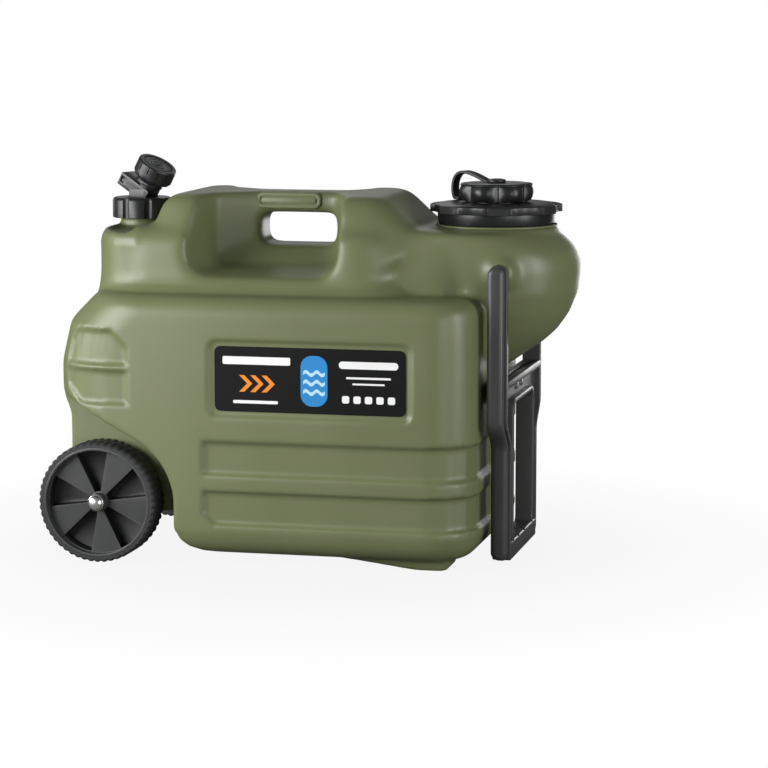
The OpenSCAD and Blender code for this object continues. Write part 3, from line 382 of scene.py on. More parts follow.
# %% [markdown]
# A blown tank has no sharp edge anywhere: the hot plastic cannot reach into the
# corners of the mould. The construction model has crisp steps and flat facets, so the
# outer skin of its mesh is copied, wrapped in an even skin of small squares with the
# Remesh modifier, and smoothed. The bands, panels and label frame of the walls stay
# clear lines with a few passes, the curved zones round them get more, and the mound
# with its finger scoop gets the most.

# %% Tank skin
SKIN_MM = 2.1
WALL_PASSES = 2
CURVE_PASSES = 12
MOUND_PASSES = 26
SKIN_SHARE = 0.54


def neck_faces(shape, axis_x, bore_r):
    """Faces of a neck's bore, which all lie within its radius of the neck's axis."""
    return {face for face in shape.faces
            if all(math.hypot(vert.co.x - axis_x, vert.co.y) < bore_r + 0.3 for vert in face.verts)}


def outer_skin(node, necks):
    """The outside of a hollow node as a closed shape, with its necks kept as blind bores."""
    shape = bmesh.new()
    shape.from_mesh(frame["nodes"][node].data)
    bmesh.ops.scale(shape, vec=(1 / MM, 1 / MM, 1 / MM), verts=shape.verts)
    bmesh.ops.remove_doubles(shape, verts=shape.verts, dist=0.005)
    bore = set()
    for axis_x, bore_r in necks:
        bore |= neck_faces(shape, axis_x, bore_r)
    start = min(shape.verts, key=lambda vert: vert.co.x).link_faces[0]
    kept = {start}
    edge_of_search = [start]
    while edge_of_search:
        face = edge_of_search.pop()
        for edge in face.edges:
            for near in edge.link_faces:
                leaves_bore = face in bore and near not in bore and near.normal.z < 0.5
                if near not in kept and not leaves_bore:
                    kept.add(near)
                    edge_of_search.append(near)
    bmesh.ops.delete(shape, geom=[face for face in shape.faces if face not in kept], context="FACES")
    bmesh.ops.holes_fill(shape, edges=[edge for edge in shape.edges if edge.is_boundary], sides=0)
    bmesh.ops.recalc_face_normals(shape, faces=shape.faces)
    return shape


fill_x = joints["lid_turn"]["pos_m"][0] / MM
tap_x = joints["tap_swivel"]["pos_m"][0] / MM
FILL_BORE_R = 47
TAP_BORE_R = 16.25
skin = outer_skin("tank_body", ((fill_x, FILL_BORE_R), (tap_x, TAP_BORE_R)))
skin_mesh = bpy.data.meshes.new("tank_skin")
bmesh.ops.scale(skin, vec=(MM, MM, MM), verts=skin.verts)
skin.to_mesh(skin_mesh)
print("skin", len(skin.faces), "faces, open edges", sum(edge.is_boundary for edge in skin.edges))
skin.free()
skin_source = bpy.data.objects.new("tank_skin", skin_mesh)
scene.collection.objects.link(skin_source)
remesh = skin_source.modifiers.new("even_skin", "REMESH")
remesh.mode = "VOXEL"
remesh.voxel_size = SKIN_MM * MM


def settled_mesh(piece):
    """A new mesh that holds a piece with its modifiers applied."""
    return bpy.data.meshes.new_from_object(piece.evaluated_get(bpy.context.evaluated_depsgraph_get()))


def round_again(point):
    """Moves a point of a faceted upright corner of the tank box out to the true round corner."""
    facet = math.tau / CORNER_SIDES
    for axis_x, side, radius in BOX_CORNERS:
        off = Vector(((point.x / MM - axis_x) * side, abs(point.y / MM) - BOX_HALF + radius))
        if off.x > 0 and off.y > 0:
            from_middle = math.atan2(off.y, off.x) % facet - facet / 2
            grow = off.length * (math.cos(from_middle) / math.cos(facet / 2) - 1) * MM / off.length
            point.x += grow * off.x * side
            point.y += grow * math.copysign(off.y, point.y)


def is_curved(point):
    """True where the tank has no panel: nose, belly edge, filler bulge and all above the wall."""
    x, z = point.x / MM, point.z / MM
    return z > WALL_TOP or z < WALL_LOW or x < NOSE_EDGE or x > BULGE_EDGE


def is_bowl(point):
    """True in the notch of the deck round the tap."""
    return abs(point.x / MM - tap_x) < BOWL_HALF and point.z / MM > BOWL_LOW


def is_mound(point):
    """True on the upper tank and the grip, but not near the filler neck."""
    x, y, z = point.x / MM, point.y / MM, point.z / MM
    return z > MOUND_LOW and math.hypot(x - fill_x, y) > LID_ROOM


CORNER_SIDES = 32
BOX_HALF = 135
BOX_CORNERS = ((125.5, 1, 46), (-182.5, -1, 62))
WALL_TOP = 229
WALL_LOW = 32
NOSE_EDGE = -231
BULGE_EDGE = 173
MOUND_LOW = 266
LID_ROOM = 64
BOWL_HALF = 27
BOWL_LOW = 300
soft_skin = bmesh.new()
soft_skin.from_mesh(settled_mesh(skin_source))
for vert in soft_skin.verts:
    if WALL_LOW < vert.co.z / MM < WALL_TOP:
        round_again(vert.co)
curved = [vert for vert in soft_skin.verts if is_curved(vert.co) and not is_bowl(vert.co)]
mound = [vert for vert in curved if is_mound(vert.co)]
for group, passes in ((soft_skin.verts[:], WALL_PASSES), (curved, CURVE_PASSES), (mound, MOUND_PASSES)):
    for _ in range(passes):
        bmesh.ops.smooth_vert(soft_skin, verts=group, factor=0.5, use_axis_x=True, use_axis_y=True,
                              use_axis_z=True)
soft_skin.to_mesh(skin_mesh)
soft_skin.free()
skin_source.modifiers.clear()
thin = skin_source.modifiers.new("fewer_flat_faces", "DECIMATE")
thin.ratio = SKIN_SHARE
tank_mesh = settled_mesh(skin_source)
bpy.data.objects.remove(skin_source)
tank_mesh.name = "blown_tank"
tank_mesh.materials.clear()
tank_mesh.materials.append(olive)
tank_mesh.shade_smooth()
tank = bpy.data.objects.new("blown_tank", tank_mesh)
scene.collection.objects.link(tank)
dress(tank, "tank", ["tank_body"])

# %% [markdown]
# Many mouldings here are turned shapes with a repeated detail round them, such as
# tread notches, tabs or lobes. Instead of cutting each one, the turned shape gets
# enough steps and a rule that says how far out it reaches at every turn and height.

# %% Radius rules
def phase(turn, count, start):
    """Angle from the nearest of so many even places round the axis, in radians."""
    step = math.tau / count
    return (turn - start + step / 2) % step - step / 2


def reshape(shape, rule):
    """Gives every point off the axis a new radius from its radius, turn and height."""
    for vert in shape.verts:
        radius = math.hypot(vert.co.x, vert.co.y)
        if radius > 0.001:
            turn = math.atan2(vert.co.y, vert.co.x)
            vert.co.xy = vert.co.xy * (rule(radius, turn, vert.co.z) / radius)


def gather(shapes):
    """Puts several shapes into one."""
    whole = bmesh.new()
    for shape in shapes:
        part = bpy.data.meshes.new("part")
        shape.to_mesh(part)
        whole.from_mesh(part)
        bpy.data.meshes.remove(part)
        shape.free()
    return whole


# %% [markdown]
# The wheels are injection moulded with five raised spokes and five deep pockets. Each
# starts as one turned ring whose steps divide evenly into ten sectors, so that whole
# patches of faces can be pressed in as pockets, from the front and from the back.

# %% Wheel hubs
axle_x, _, axle_z = (value / MM for value in joints["front_wheel_spin"]["pos_m"])
TRACK_HALF = 107
WHEEL_W = 33
HUB_R = 53
RIM_R = 50.5
BOSS_R = 8.5
AXLE_BORE_R = 5.1
SPOKE_Z = 24
POCKET_T = 14
BACK_Z = 2.5
SPOKE_N = 5
SECTOR = 180 / SPOKE_N
SPOKE_TURN = 26


def wheel_place(side, along=0.0, turn=0.0):
    """Lays a turned piece on the axle: side -1 is the front, 1 the rear."""
    return (Matrix.Translation((axle_x, side * (TRACK_HALF + along), axle_z))
            @ Matrix.Rotation(math.radians(-90 * side), 4, "X")
            @ Matrix.Rotation(math.radians(turn), 4, "Z"))


def sector_patch(shape, height, r_in, r_out, middle, half_angle):
    """Flat faces at a height, between two radii and round a turn in degrees."""
    patch = []
    for face in shape.faces:
        centre = face.calc_center_median()
        off = (turn_of(face) - middle + 180) % 360 - 180
        if (abs(centre.z - height) < 0.01 and r_in < centre.xy.length < r_out and abs(face.normal.z) > 0.9
                and abs(off) < half_angle):
            patch.append(face)
    return patch


def hub_shape():
    """Hub with a rim, a boss, pockets in front with painted shade, and hollow spokes behind."""
    inside = RIM_R - 0.6
    shape = turned(((AXLE_BORE_R, 0), (BOSS_R, 0), (BOSS_R, BACK_Z), (2 * BOSS_R, BACK_Z), (inside, BACK_Z),
                    (RIM_R, BACK_Z), (RIM_R, 0), (HUB_R, 0), (HUB_R, WHEEL_W), (RIM_R, WHEEL_W),
                    (RIM_R, SPOKE_Z), (inside, SPOKE_Z), (BOSS_R + 1, SPOKE_Z), (BOSS_R, SPOKE_Z),
                    (BOSS_R, WHEEL_W), (AXLE_BORE_R, WHEEL_W)), 60)
    for spoke in range(SPOKE_N):
        pocket = sector_patch(shape, SPOKE_Z, BOSS_R + 1, inside, SECTOR * (2 * spoke + 0.5), SECTOR / 2)
        for face in press(shape, pocket, (0, 0, -POCKET_T)):
            # the pocket's floor and walls take the second material, a darker black that is painted shade
            face.material_index = 1
            for edge in face.edges:
                for wall in edge.link_faces:
                    wall.material_index = 1
        hollow = sector_patch(shape, BACK_Z, 2 * BOSS_R, inside, SECTOR * (2 * spoke + 1.5), SECTOR / 3)
        press(shape, hollow, (0, 0, SPOKE_Z - 2 * BACK_Z - BACK_Z))
    soften(shape, 0.7)
    return shape


WHEELS = (("front", -1), ("rear", 1))
for end, side in WHEELS:
    hub = make_piece(end + "_hub", hub_shape(), wheel_place(side, turn=SPOKE_TURN - SECTOR / 2), wheel_black_painted_sheen,
                     end + "_wheel", [end + "_wheel_hub"])
    # the second material is the painted shade of the pockets
    hub.data.materials.append(pocket_painted_shade)

# %% [markdown]
# The tyre is a rubber band moulded onto the hub, with two rows of shallow notches that
# sit half a pitch apart. Six steps per notch are enough for a soft scallop.

# %% Tyres
TYRE_R = 58
TYRE_EDGE = 1.8
TREAD_N = 52
NOTCH_DEEP = 1.1
NOTCH_HALF = 1.9
ROW_GAP = 2.5


def tread_rule(radius, turn, height):
    """Shallow scallops across each tread row, with a plain rib between the rows."""
    from_middle = height - WHEEL_W / 2
    if radius < HUB_R + 1 or abs(from_middle) < ROW_GAP:
        return radius
    start = math.pi / TREAD_N if from_middle > 0 else 0
    off = abs(phase(turn, TREAD_N, start)) * TYRE_R
    return radius - NOTCH_DEEP * max(0, 1 - (off / NOTCH_HALF) ** 2)


for end, side in WHEELS:
    middle_z = WHEEL_W / 2
    tyre = turned(((HUB_R, 0), (TYRE_R - TYRE_EDGE, 0), (TYRE_R, TYRE_EDGE), (TYRE_R, middle_z - ROW_GAP - 1),
                   (TYRE_R, middle_z - ROW_GAP + 1), (TYRE_R, middle_z + ROW_GAP - 1),
                   (TYRE_R, middle_z + ROW_GAP + 1), (TYRE_R, WHEEL_W - TYRE_EDGE),
                   (TYRE_R - TYRE_EDGE, WHEEL_W), (HUB_R, WHEEL_W)), 6 * TREAD_N)
    reshape(tyre, tread_rule)
    make_piece(end + "_tread", tyre, wheel_place(side), tread, end + "_wheel", [end + "_tyre"])

# %% [markdown]
# Each end of the axle carries a pressed steel cap, pushed on so that the wheel cannot
# slide off. It is a thin flange with a dome, so an outline and one spin are enough.

# %% Axle caps
CAP_R = 7.75
CAP_H = 6.5
CAP_FLANGE = 1.3
CAP_GAP = 0.3
DOME_STEPS = 10
dome_low = CAP_FLANGE + 0.6
dome = [((CAP_R - 0.7) * math.cos(math.pi / 2 * i / DOME_STEPS),
         dome_low + (CAP_H - dome_low) * math.sin(math.pi / 2 * i / DOME_STEPS)) for i in range(DOME_STEPS)]
for end, side in WHEELS:
    cap = turned([(0, CAP_H / 2), (AXLE_BORE_R, CAP_H / 2), (AXLE_BORE_R, 0), (CAP_R, 0), (CAP_R, CAP_FLANGE)]
                 + dome + [(0, CAP_H)], 48, closed=False)
    make_piece(end + "_dome", cap, wheel_place(side, WHEEL_W + CAP_GAP), chrome, "tank",
               [end + "_axle_cap"])

# %% [markdown]
# The pull handle is one black moulding that swings on two pins. Each arm is a flange
# with a round bar in front of it, and a groove runs between the two. Both step in half
# way down towards the hand loop. A circle pulled apart makes the outline with its domes.

# %% Handle arms
pivot_x, _, pivot_z = (value / MM for value in joints["handle_swing"]["pos_m"])
ARM_T = 18.5
ARM_W = 14.5
ARM_IN = 88.5
STEP_IN = 23
STEP_Z = 127
STEP_H = 31
STEP_CUTS = 12
ARM_SIDES = 32
HANDLE_LOW = 5
FLANGE_W = 6
FIN_T = 2.2
FLANGE_ROUND = 1.2
BAR_NEAR = 4.5
BAR_ROUND = 6


def arm_bend(height):
    """How far an arm stands in at a height: nothing above the step, all of it below."""
    part = min(max((STEP_Z + STEP_H / 2 - height) / STEP_H, 0), 1)
    return STEP_IN * (1 - math.cos(math.pi * part)) / 2


def arm_shape(depth, near, far, rounding):
    """A long bar with domed ends and soft edges, between two distances from the inner side."""
    shape = bmesh.new()
    bmesh.ops.create_circle(shape, cap_ends=True, radius=depth / 2, segments=ARM_SIDES)
    half_side = Matrix.Rotation(math.pi / ARM_SIDES, 3, "Z")
    bmesh.ops.rotate(shape, cent=(0, 0, 0), matrix=half_side, verts=shape.verts)
    upper = [vert for vert in shape.verts if vert.co.y > 0]
    lower = [vert for vert in shape.verts if vert.co.y < 0]
    bmesh.ops.translate(shape, vec=(0, pivot_z, near), verts=upper)
    bmesh.ops.translate(shape, vec=(0, HANDLE_LOW + ARM_T / 2, near), verts=lower)
    press(shape, shape.faces[:], (0, 0, far - near))
    soften(shape, rounding, 5, 60)
    for step in range(STEP_CUTS + 1):
        height = STEP_Z + STEP_H * (step / STEP_CUTS - 0.5)
        cut(shape, (0, height, 0), (0, 1, 0))
    for vert in shape.verts:
        vert.co.z -= arm_bend(vert.co.y)
    return shape


for end, side in WHEELS:
    bar = arm_shape(ARM_T - FIN_T, BAR_NEAR, ARM_W, BAR_ROUND)
    bmesh.ops.translate(bar, vec=(-FIN_T / 2, 0, 0), verts=bar.verts)
    arm = gather((arm_shape(ARM_T, 0, FLANGE_W, FLANGE_ROUND), bar))
    place = (Matrix.Translation((pivot_x, side * ARM_IN, 0))
             @ Matrix(((1, 0, 0, 0), (0, 0, side, 0), (0, 1, 0, 0), (0, 0, 0, 1))))
    make_piece(end + "_arm", arm, place, handle_black_painted_sheen, "handle", ["pull_handle"])

# %% [markdown]
# Between the arms lies a thin web with a hand window. A raised rim stiffens the window,
# two ribs with a slot between them run along the top, and a thick bar to pull on closes
# the bottom. All are plain outlines in the handle's plane, given a depth and soft edges.

# %% Handle web and hand loop
WEB_T = 6
WEB_TOP = 179
LOOP_HALF = 52
LOOP_LOW = 21.5
LOOP_TOP = 154
LOOP_R = 8
RIM_W = 5
LIP = 0.3
RAIL_T = 5.6
RAIL_H = 7
RAIL_HALF = ARM_IN + 2
BAR_TOP = LOOP_LOW + 1
DRAIN_Y = (-28, -22, 3, 9)
DRAIN_HALF = 3
DRAIN_AREA = 40
DRAIN_DEEP = 4
PULL_ROUND = 2.4
EDGE_ROUND = 1.4
handle_place = (Matrix.Translation((pivot_x, 0, 0))
                @ Matrix(((0, 0, 1, 0), (1, 0, 0, 0), (0, 1, 0, 0), (0, 0, 0, 1))))


def slab(corners, low, high):
    """A flat outline of corner points, made solid between two depths."""
    shape = bmesh.new()
    shape.faces.new([shape.verts.new((x, y, low)) for x, y in corners])
    press(shape, shape.faces[:], (0, 0, high - low))
    return shape


def block(x0, x1, y0, y1, z0, z1, rounding):
    """A box with rounded edges."""
    shape = slab(((x0, y0), (x1, y0), (x1, y1), (x0, y1)), z0, z1)
    soften(shape, rounding, 3)
    return shape


def rounded_face(x0, x1, y0, y1, corner):
    """One flat face with round corners."""
    shape = bmesh.new()
    outline = [shape.verts.new((x, y, 0)) for x, y in ((x0, y0), (x1, y0), (x1, y1), (x0, y1))]
    bmesh.ops.contextual_create(shape, geom=outline)
    bmesh.ops.bevel(shape, geom=shape.verts[:], offset=corner, offset_type="OFFSET", segments=8, profile=0.5,
                    affect="VERTICES", clamp_overlap=True, material=-1)
    return shape


def rim_ring(x0, x1, y0, y1, corner, width, low, high, rounding):
    """A ring of even width round a window with round corners."""
    shape = rounded_face(x0 - width, x1 + width, y0 - width, y1 + width, corner + width)
    window = shape.faces[:]
    bmesh.ops.inset_region(shape, faces=window, thickness=width, use_boundary=True, use_even_offset=True)
    bmesh.ops.delete(shape, geom=window, context="FACES")
    bmesh.ops.translate(shape, vec=(0, 0, low), verts=shape.verts)
    press(shape, shape.faces[:], (0, 0, high - low))
    soften(shape, rounding, 3, 60)
    return shape


def web_shape():
    """The thin web, as wide as the arms are apart, with the hand window cut out of it."""
    top, low = ARM_IN + 2, ARM_IN - STEP_IN + 2
    half = [(low, BAR_TOP - RIM_W), (low, STEP_Z - STEP_H / 2), (top, STEP_Z + STEP_H / 2),
            (top, WEB_TOP - RAIL_H / 2)]
    shape = bmesh.new()
    other = [(-x, y) for x, y in reversed(half)]
    outline = [shape.verts.new((x, y, -WEB_T / 2)) for x, y in half + other]
    bmesh.ops.contextual_create(shape, geom=outline)
    for point, normal in (((LOOP_HALF, 0, 0), (1, 0, 0)), ((-LOOP_HALF, 0, 0), (1, 0, 0)),
                          ((0, LOOP_LOW, 0), (0, 1, 0)), ((0, LOOP_TOP, 0), (0, 1, 0))):
        cut(shape, point, normal)
    middle = Vector((0, (LOOP_LOW + LOOP_TOP) / 2))
    hole = [face for face in shape.faces
            if (face.calc_center_median().xy - middle).length < LOOP_HALF / 2]
    bmesh.ops.delete(shape, geom=hole, context="FACES")
    press(shape, shape.faces[:], (0, 0, WEB_T))
    return shape


def pull_bar():
    """The thick bar under the hand window, with two drain slots pressed across its top."""
    end_y = ARM_IN - STEP_IN + 3
    shape = slab(((-end_y, HANDLE_LOW), (end_y, HANDLE_LOW), (end_y, BAR_TOP), (-end_y, BAR_TOP)),
                 -ARM_T / 2, ARM_T / 2)
    for y in DRAIN_Y:
        cut(shape, (y, 0, 0), (1, 0, 0))
    for z in (-DRAIN_HALF, DRAIN_HALF):
        cut(shape, (0, 0, z), (0, 0, 1))
    for face in [face for face in shape.faces if face.normal.y > 0.9 and face.calc_area() < DRAIN_AREA]:
        press(shape, [face], (0, -DRAIN_DEEP, 0))
    soften(shape, PULL_ROUND, 4, 60)
    return shape


handle_parts = {
    "handle_web": web_shape(),
    "loop_rim": rim_ring(LIP - LOOP_HALF, LOOP_HALF - LIP, LOOP_LOW - LIP, LOOP_TOP - LIP, LOOP_R, RIM_W,
                         LIP - ARM_T / 2, ARM_T / 2 - LIP, EDGE_ROUND),
    "pull_bar": pull_bar(),
    "outer_rail": block(-RAIL_HALF, RAIL_HALF, WEB_TOP - RAIL_H, WEB_TOP, ARM_T / 2 - RAIL_T, ARM_T / 2,
                        EDGE_ROUND),
    "inner_rail": block(-RAIL_HALF, RAIL_HALF, WEB_TOP - RAIL_H, WEB_TOP, -ARM_T / 2, RAIL_T - ARM_T / 2,
                        EDGE_ROUND),
}
for name, shape in handle_parts.items():
    make_piece(name, shape, handle_place, handle_black_painted_sheen, "handle", ["pull_handle"])

# %% [markdown]
# The filler lid is a wide screw cap. Seven flat tabs give a grip for the palm, and the
# rim swings in a soft wave between them, so that fingers find a hold with wet hands.
# The radius rule draws a tab, the lobe beside it and the dip between two tabs.

# %% Filler lid
LID_LOW = 322.5
LID_H = 20.1
LID_UNDER = 17.1
SKIRT_R = 56.75
LID_RIM_R = 59.25
LID_RIM_LOW = 10.6
TAB_R = 63.5
TAB_N = 7
TAB_HALF = math.radians(9)
FLANK = math.radians(2.2)
DIP_R = 57.4
NECK_IN_R = 52
VENT_BORE_R = 22
VENT_NECK_R = 26
VENT_NECK_H = 13.5


def tab_rule(radius, turn, height):
    """Radius of the lid's rim: a flat tab, then a lobe that sinks to a dip before the next tab."""
    if radius < SKIRT_R + 0.5:
        return radius
    off = abs(phase(turn, TAB_N, math.pi))
    gap = math.pi / TAB_N - TAB_HALF - FLANK
    if off <= TAB_HALF + 0.001:
        reach = TAB_R * math.cos(TAB_HALF / 2) / math.cos(off)
    else:
        part = min(max((off - TAB_HALF - FLANK) / gap, 0), 1)
        reach = DIP_R + (LID_RIM_R + 0.6 - DIP_R) * (1 + math.cos(math.pi * part)) / 2
    return radius * reach / LID_RIM_R


lid = turned(((NECK_IN_R, 0), (SKIRT_R - 0.4, 0), (SKIRT_R, 0.5), (SKIRT_R, LID_RIM_LOW),
              (LID_RIM_R - 0.5, LID_RIM_LOW), (LID_RIM_R, LID_RIM_LOW + 0.6), (LID_RIM_R, LID_H - 2.6),
              (LID_RIM_R - 0.8, LID_H - 1.8), (SKIRT_R - 3, LID_H - 0.6), (SKIRT_R - 8, LID_H),
              (VENT_NECK_R, LID_H), (VENT_NECK_R, LID_H + VENT_NECK_H),
              (VENT_BORE_R, LID_H + VENT_NECK_H), (VENT_BORE_R, LID_UNDER),
              (NECK_IN_R, LID_UNDER)), 24 * TAB_N)
reshape(lid, tab_rule)
make_piece("filler_lid", lid, Matrix.Translation((fill_x, 0, LID_LOW)), black, "lid",
           ["main_lid"])

# %% [markdown]
# Under the lid the tank's neck carries a thin olive bead, which stops drips from running
# down the wall. It is a small half round, spun once round the neck.

# %% Neck bead
BEAD_R = 58
BEAD_HALF = 1.1
BEAD_Z = 321
BEAD_STEPS = 12
bead_turns = [math.tau * i / BEAD_STEPS for i in range(BEAD_STEPS)]
bead = turned([(BEAD_R + BEAD_HALF * math.cos(turn), BEAD_Z + BEAD_HALF * math.sin(turn))
               for turn in bead_turns], 128)
make_piece("neck_bead", bead, Matrix.Translation((fill_x, 0, 0)), olive, "tank",
           ["tank_body"])

# %% [markdown]
# A small post on the lid holds one end of the tether strap. It is a pin with a mushroom
# head that the strap's ring snaps over, and the vent cap carries a button of the same kind.

# %% Tether post and button
# In the photo the strap runs to the back left, so it is turned about the lid's middle
STRAP_TURN = math.radians(-30)
strap_turn = (Matrix.Translation((fill_x, 0, 0)) @ Matrix.Rotation(STRAP_TURN, 4, "Z")
              @ Matrix.Translation((-fill_x, 0, 0)))
POST_X = fill_x - 47
LID_TOP = LID_LOW + LID_H
VENT_TOP = 360.9


def mushroom(shaft_r, shaft_h, head_r, head_h):
    """A short pin with a domed head."""
    turns = [math.pi / 2 * i / 6 for i in range(6)]
    head = [(head_r * math.cos(turn), shaft_h + 0.5 + (head_h - 0.5) * math.sin(turn)) for turn in turns]
    return turned([(0, 0), (shaft_r, 0), (shaft_r, shaft_h), (head_r - 0.4, shaft_h)] + head
                  + [(0, shaft_h + head_h)], 40, closed=False)


post_place = strap_turn @ Matrix.Translation((POST_X, 0, LID_TOP - 1))
make_piece("tether_post", mushroom(3, 4.2, 4.6, 1.4), post_place, black, "lid",
           ["main_lid"])
make_piece("strap_button", mushroom(4, 2.8, 7, 1.4), Matrix.Translation((fill_x, 0, VENT_TOP)), black,
           "vent", ["tether_button"])

# %% [markdown]
# The vent cap has six round lobes under a thin disc. A cosine wave round the cap gives
# soft lobes with narrow grooves between them, and the lobes draw in towards the bottom.

# %% Vent cap
VENT_LOW = 343.4
VENT_IN_R = 27
VENT_SKIRT_R = 30
VENT_H = VENT_TOP - VENT_LOW
VENT_ROOF = 14.5
LOBE_N = 6
LOBE_DEEP = 7.5
LOBE_TURN = math.radians(-77 + 180 / LOBE_N)
LOBE_IN = 1.5
LOBE_MIDDLE = 9
LOBE_REACH = 12
DISC_LOW = 15
DISC_WAVE = 2.4
DISC_IN = 2.2
VENT_DISC_R = 34.8


def lobe_rule(radius, turn, height):
    """Radius of the vent cap: lobes that swell at mid height, under a thin disc with a softer wave."""
    if radius < VENT_SKIRT_R - 0.1 or height < 0.1:
        return radius
    bulge = math.cos(phase(turn, LOBE_N, LOBE_TURN) * LOBE_N / 2)
    if height > DISC_LOW:
        return radius + DISC_WAVE * bulge - DISC_IN
    taper = 1 - ((height - LOBE_MIDDLE) / LOBE_REACH) ** 2
    return VENT_SKIRT_R - LOBE_IN + LOBE_DEEP * bulge * taper


vent = turned(((0, VENT_ROOF), (VENT_IN_R, VENT_ROOF), (VENT_IN_R, 0), (VENT_SKIRT_R, 0), (VENT_SKIRT_R, 1),
               (VENT_SKIRT_R, 2), (VENT_SKIRT_R, 3.5), (VENT_SKIRT_R, 5.5), (VENT_SKIRT_R, 8),
               (VENT_SKIRT_R, 11), (VENT_SKIRT_R, 13.4), (VENT_SKIRT_R, 14.8),
               (VENT_DISC_R - 0.3, DISC_LOW + 0.1), (VENT_DISC_R, DISC_LOW + 0.5),
               (VENT_DISC_R, VENT_H - 1.2), (VENT_DISC_R - 0.7, VENT_H - 0.4),
               (VENT_DISC_R - 1.8, VENT_H), (VENT_IN_R, VENT_H), (0, VENT_H)), 30 * LOBE_N, closed=False)
reshape(vent, lobe_rule)
make_piece("lobed_cap", vent, Matrix.Translation((fill_x, 0, VENT_LOW)), black, "vent",
           ["vent_cap"])

# %% [markdown]
# The strap is a soft moulded band that loops from the post over to the button, so the
# vent cap cannot be lost. A curve gives its path, which arches from the lid up to the
# higher cap, and the band is laid in place with that one shape.

# %% Tether strap
STRAP_T = 2.8
STRAP_W = 9.5
STRAP_LOW = LID_TOP + 0.4
STRAP_HIGH = VENT_TOP + 0.4
STRAP_TOP = LID_TOP + 30 - STRAP_T / 2
strap_path = (((POST_X - 5.5, STRAP_LOW + 1), (POST_X - 10, STRAP_LOW + 10)),
              ((POST_X + 7, STRAP_TOP), (POST_X + 17, STRAP_TOP)),
              ((fill_x - 8, STRAP_HIGH + 1), None))
strap_in = (None, (POST_X - 8, STRAP_TOP), (fill_x - 17, STRAP_HIGH + 4))


def strap_shape():
    """A band along the strap's path, as thick and soft-edged as a moulded strap."""
    line = bpy.data.curves.new("strap_line", "CURVE")
    line.dimensions = "2D"
    line.resolution_u = 14
    line.extrude = STRAP_W / 2
    spline = line.splines.new("BEZIER")
    spline.bezier_points.add(len(strap_path) - 1)
    for point, (place, leave), arrive in zip(spline.bezier_points, strap_path, strap_in):
        point.handle_left_type = point.handle_right_type = "FREE"
        point.co = (*place, 0)
        point.handle_right = (*(leave or place), 0)
        point.handle_left = (*(arrive or place), 0)
    holder = bpy.data.objects.new("strap_line", line)
    shape = bmesh.new()
    shape.from_mesh(holder.to_mesh())
    bpy.data.objects.remove(holder)
    bmesh.ops.remove_doubles(shape, verts=shape.verts, dist=0.01)
    bmesh.ops.recalc_face_normals(shape, faces=shape.faces)
    bmesh.ops.solidify(shape, geom=shape.faces[:], thickness=STRAP_T)
    soften(shape, 0.5, 2, 60)
    return shape


def strap_ring(r_out, r_in):
    """Flat eye at the end of the strap."""
    shape = turned(((r_in, 0), (r_out, 0), (r_out, STRAP_T), (r_in, STRAP_T)), 48)
    soften(shape, 0.5)
    return shape


upright_place = Matrix.Rotation(math.pi / 2, 4, "X")
eye_place = strap_turn @ Matrix.Translation((POST_X, 0, STRAP_LOW))
make_piece("post_eye", strap_ring(6.5, 3.4), eye_place, strap_black, "lid",
           ["cap_tether"])
make_piece("button_eye", strap_ring(9, 4.4), Matrix.Translation((fill_x, 0, STRAP_HIGH)), strap_black,
           "vent_ring", ["cap_tether"])
strap_piece = shape_object("strap_band", strap_shape(), strap_turn @ upright_place, strap_black)
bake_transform(strap_piece)
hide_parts("cap_tether")
print("strap", len(strap_piece.data.polygons), "faces")

# %% [markdown]
# The tap screws onto its own neck with a collar nut. Eight narrow grooves split the nut
# into lobes that are slightly crowned, so each one catches its own streak of light.

# %% Tap collar
COLLAR_LOW = 322
COLLAR_H = 20
COLLAR_R = 29.75
COLLAR_IN_R = 20.75
COLLAR_ROOF = 18
STEM_HOLE_R = 15.1
GROOVE_N = 8
GROOVE_R = 4.2
GROOVE_OUT = 31.15
GROOVE_TURN = math.radians(6 + 180 / GROOVE_N)
CROWN = 0.8


def groove_rule(radius, turn, height):
    """Radius of the collar: crowned lobes with a round groove between each two."""
    if radius < COLLAR_IN_R + 2:
        return radius
    off = phase(turn, GROOVE_N, GROOVE_TURN)
    crown = CROWN * (1 - abs(off) * GROOVE_N / math.pi) ** 2
    chord = GROOVE_R ** 2 - (GROOVE_OUT * math.sin(off)) ** 2
    groove = GROOVE_OUT * math.cos(off) - math.sqrt(chord) if chord > 0 else COLLAR_R
    return min(radius - crown, groove)


collar = turned(((COLLAR_IN_R, 0), (COLLAR_R - 0.5, 0), (COLLAR_R, 0.5), (COLLAR_R, COLLAR_H - 3.2),
                 (COLLAR_R - 0.5, COLLAR_H - 1.7), (COLLAR_R - 1.5, COLLAR_H - 0.6),
                 (COLLAR_R - 3, COLLAR_H), (STEM_HOLE_R, COLLAR_H), (STEM_HOLE_R, COLLAR_ROOF),
                 (COLLAR_IN_R, COLLAR_ROOF)), 24 * GROOVE_N)
reshape(collar, groove_rule)
make_piece("collar_nut", collar, Matrix.Translation((tap_x, 0, COLLAR_LOW)), black, "collar",
           ["tap_collar"])

# %% [markdown]
# The tap body is a square stem, a leaning valve barrel and a box spout. Its pieces are
# drawn along the valve's own axis, which leans from the upright, and the spout ends in
# a framed mouth with the outlet behind it.

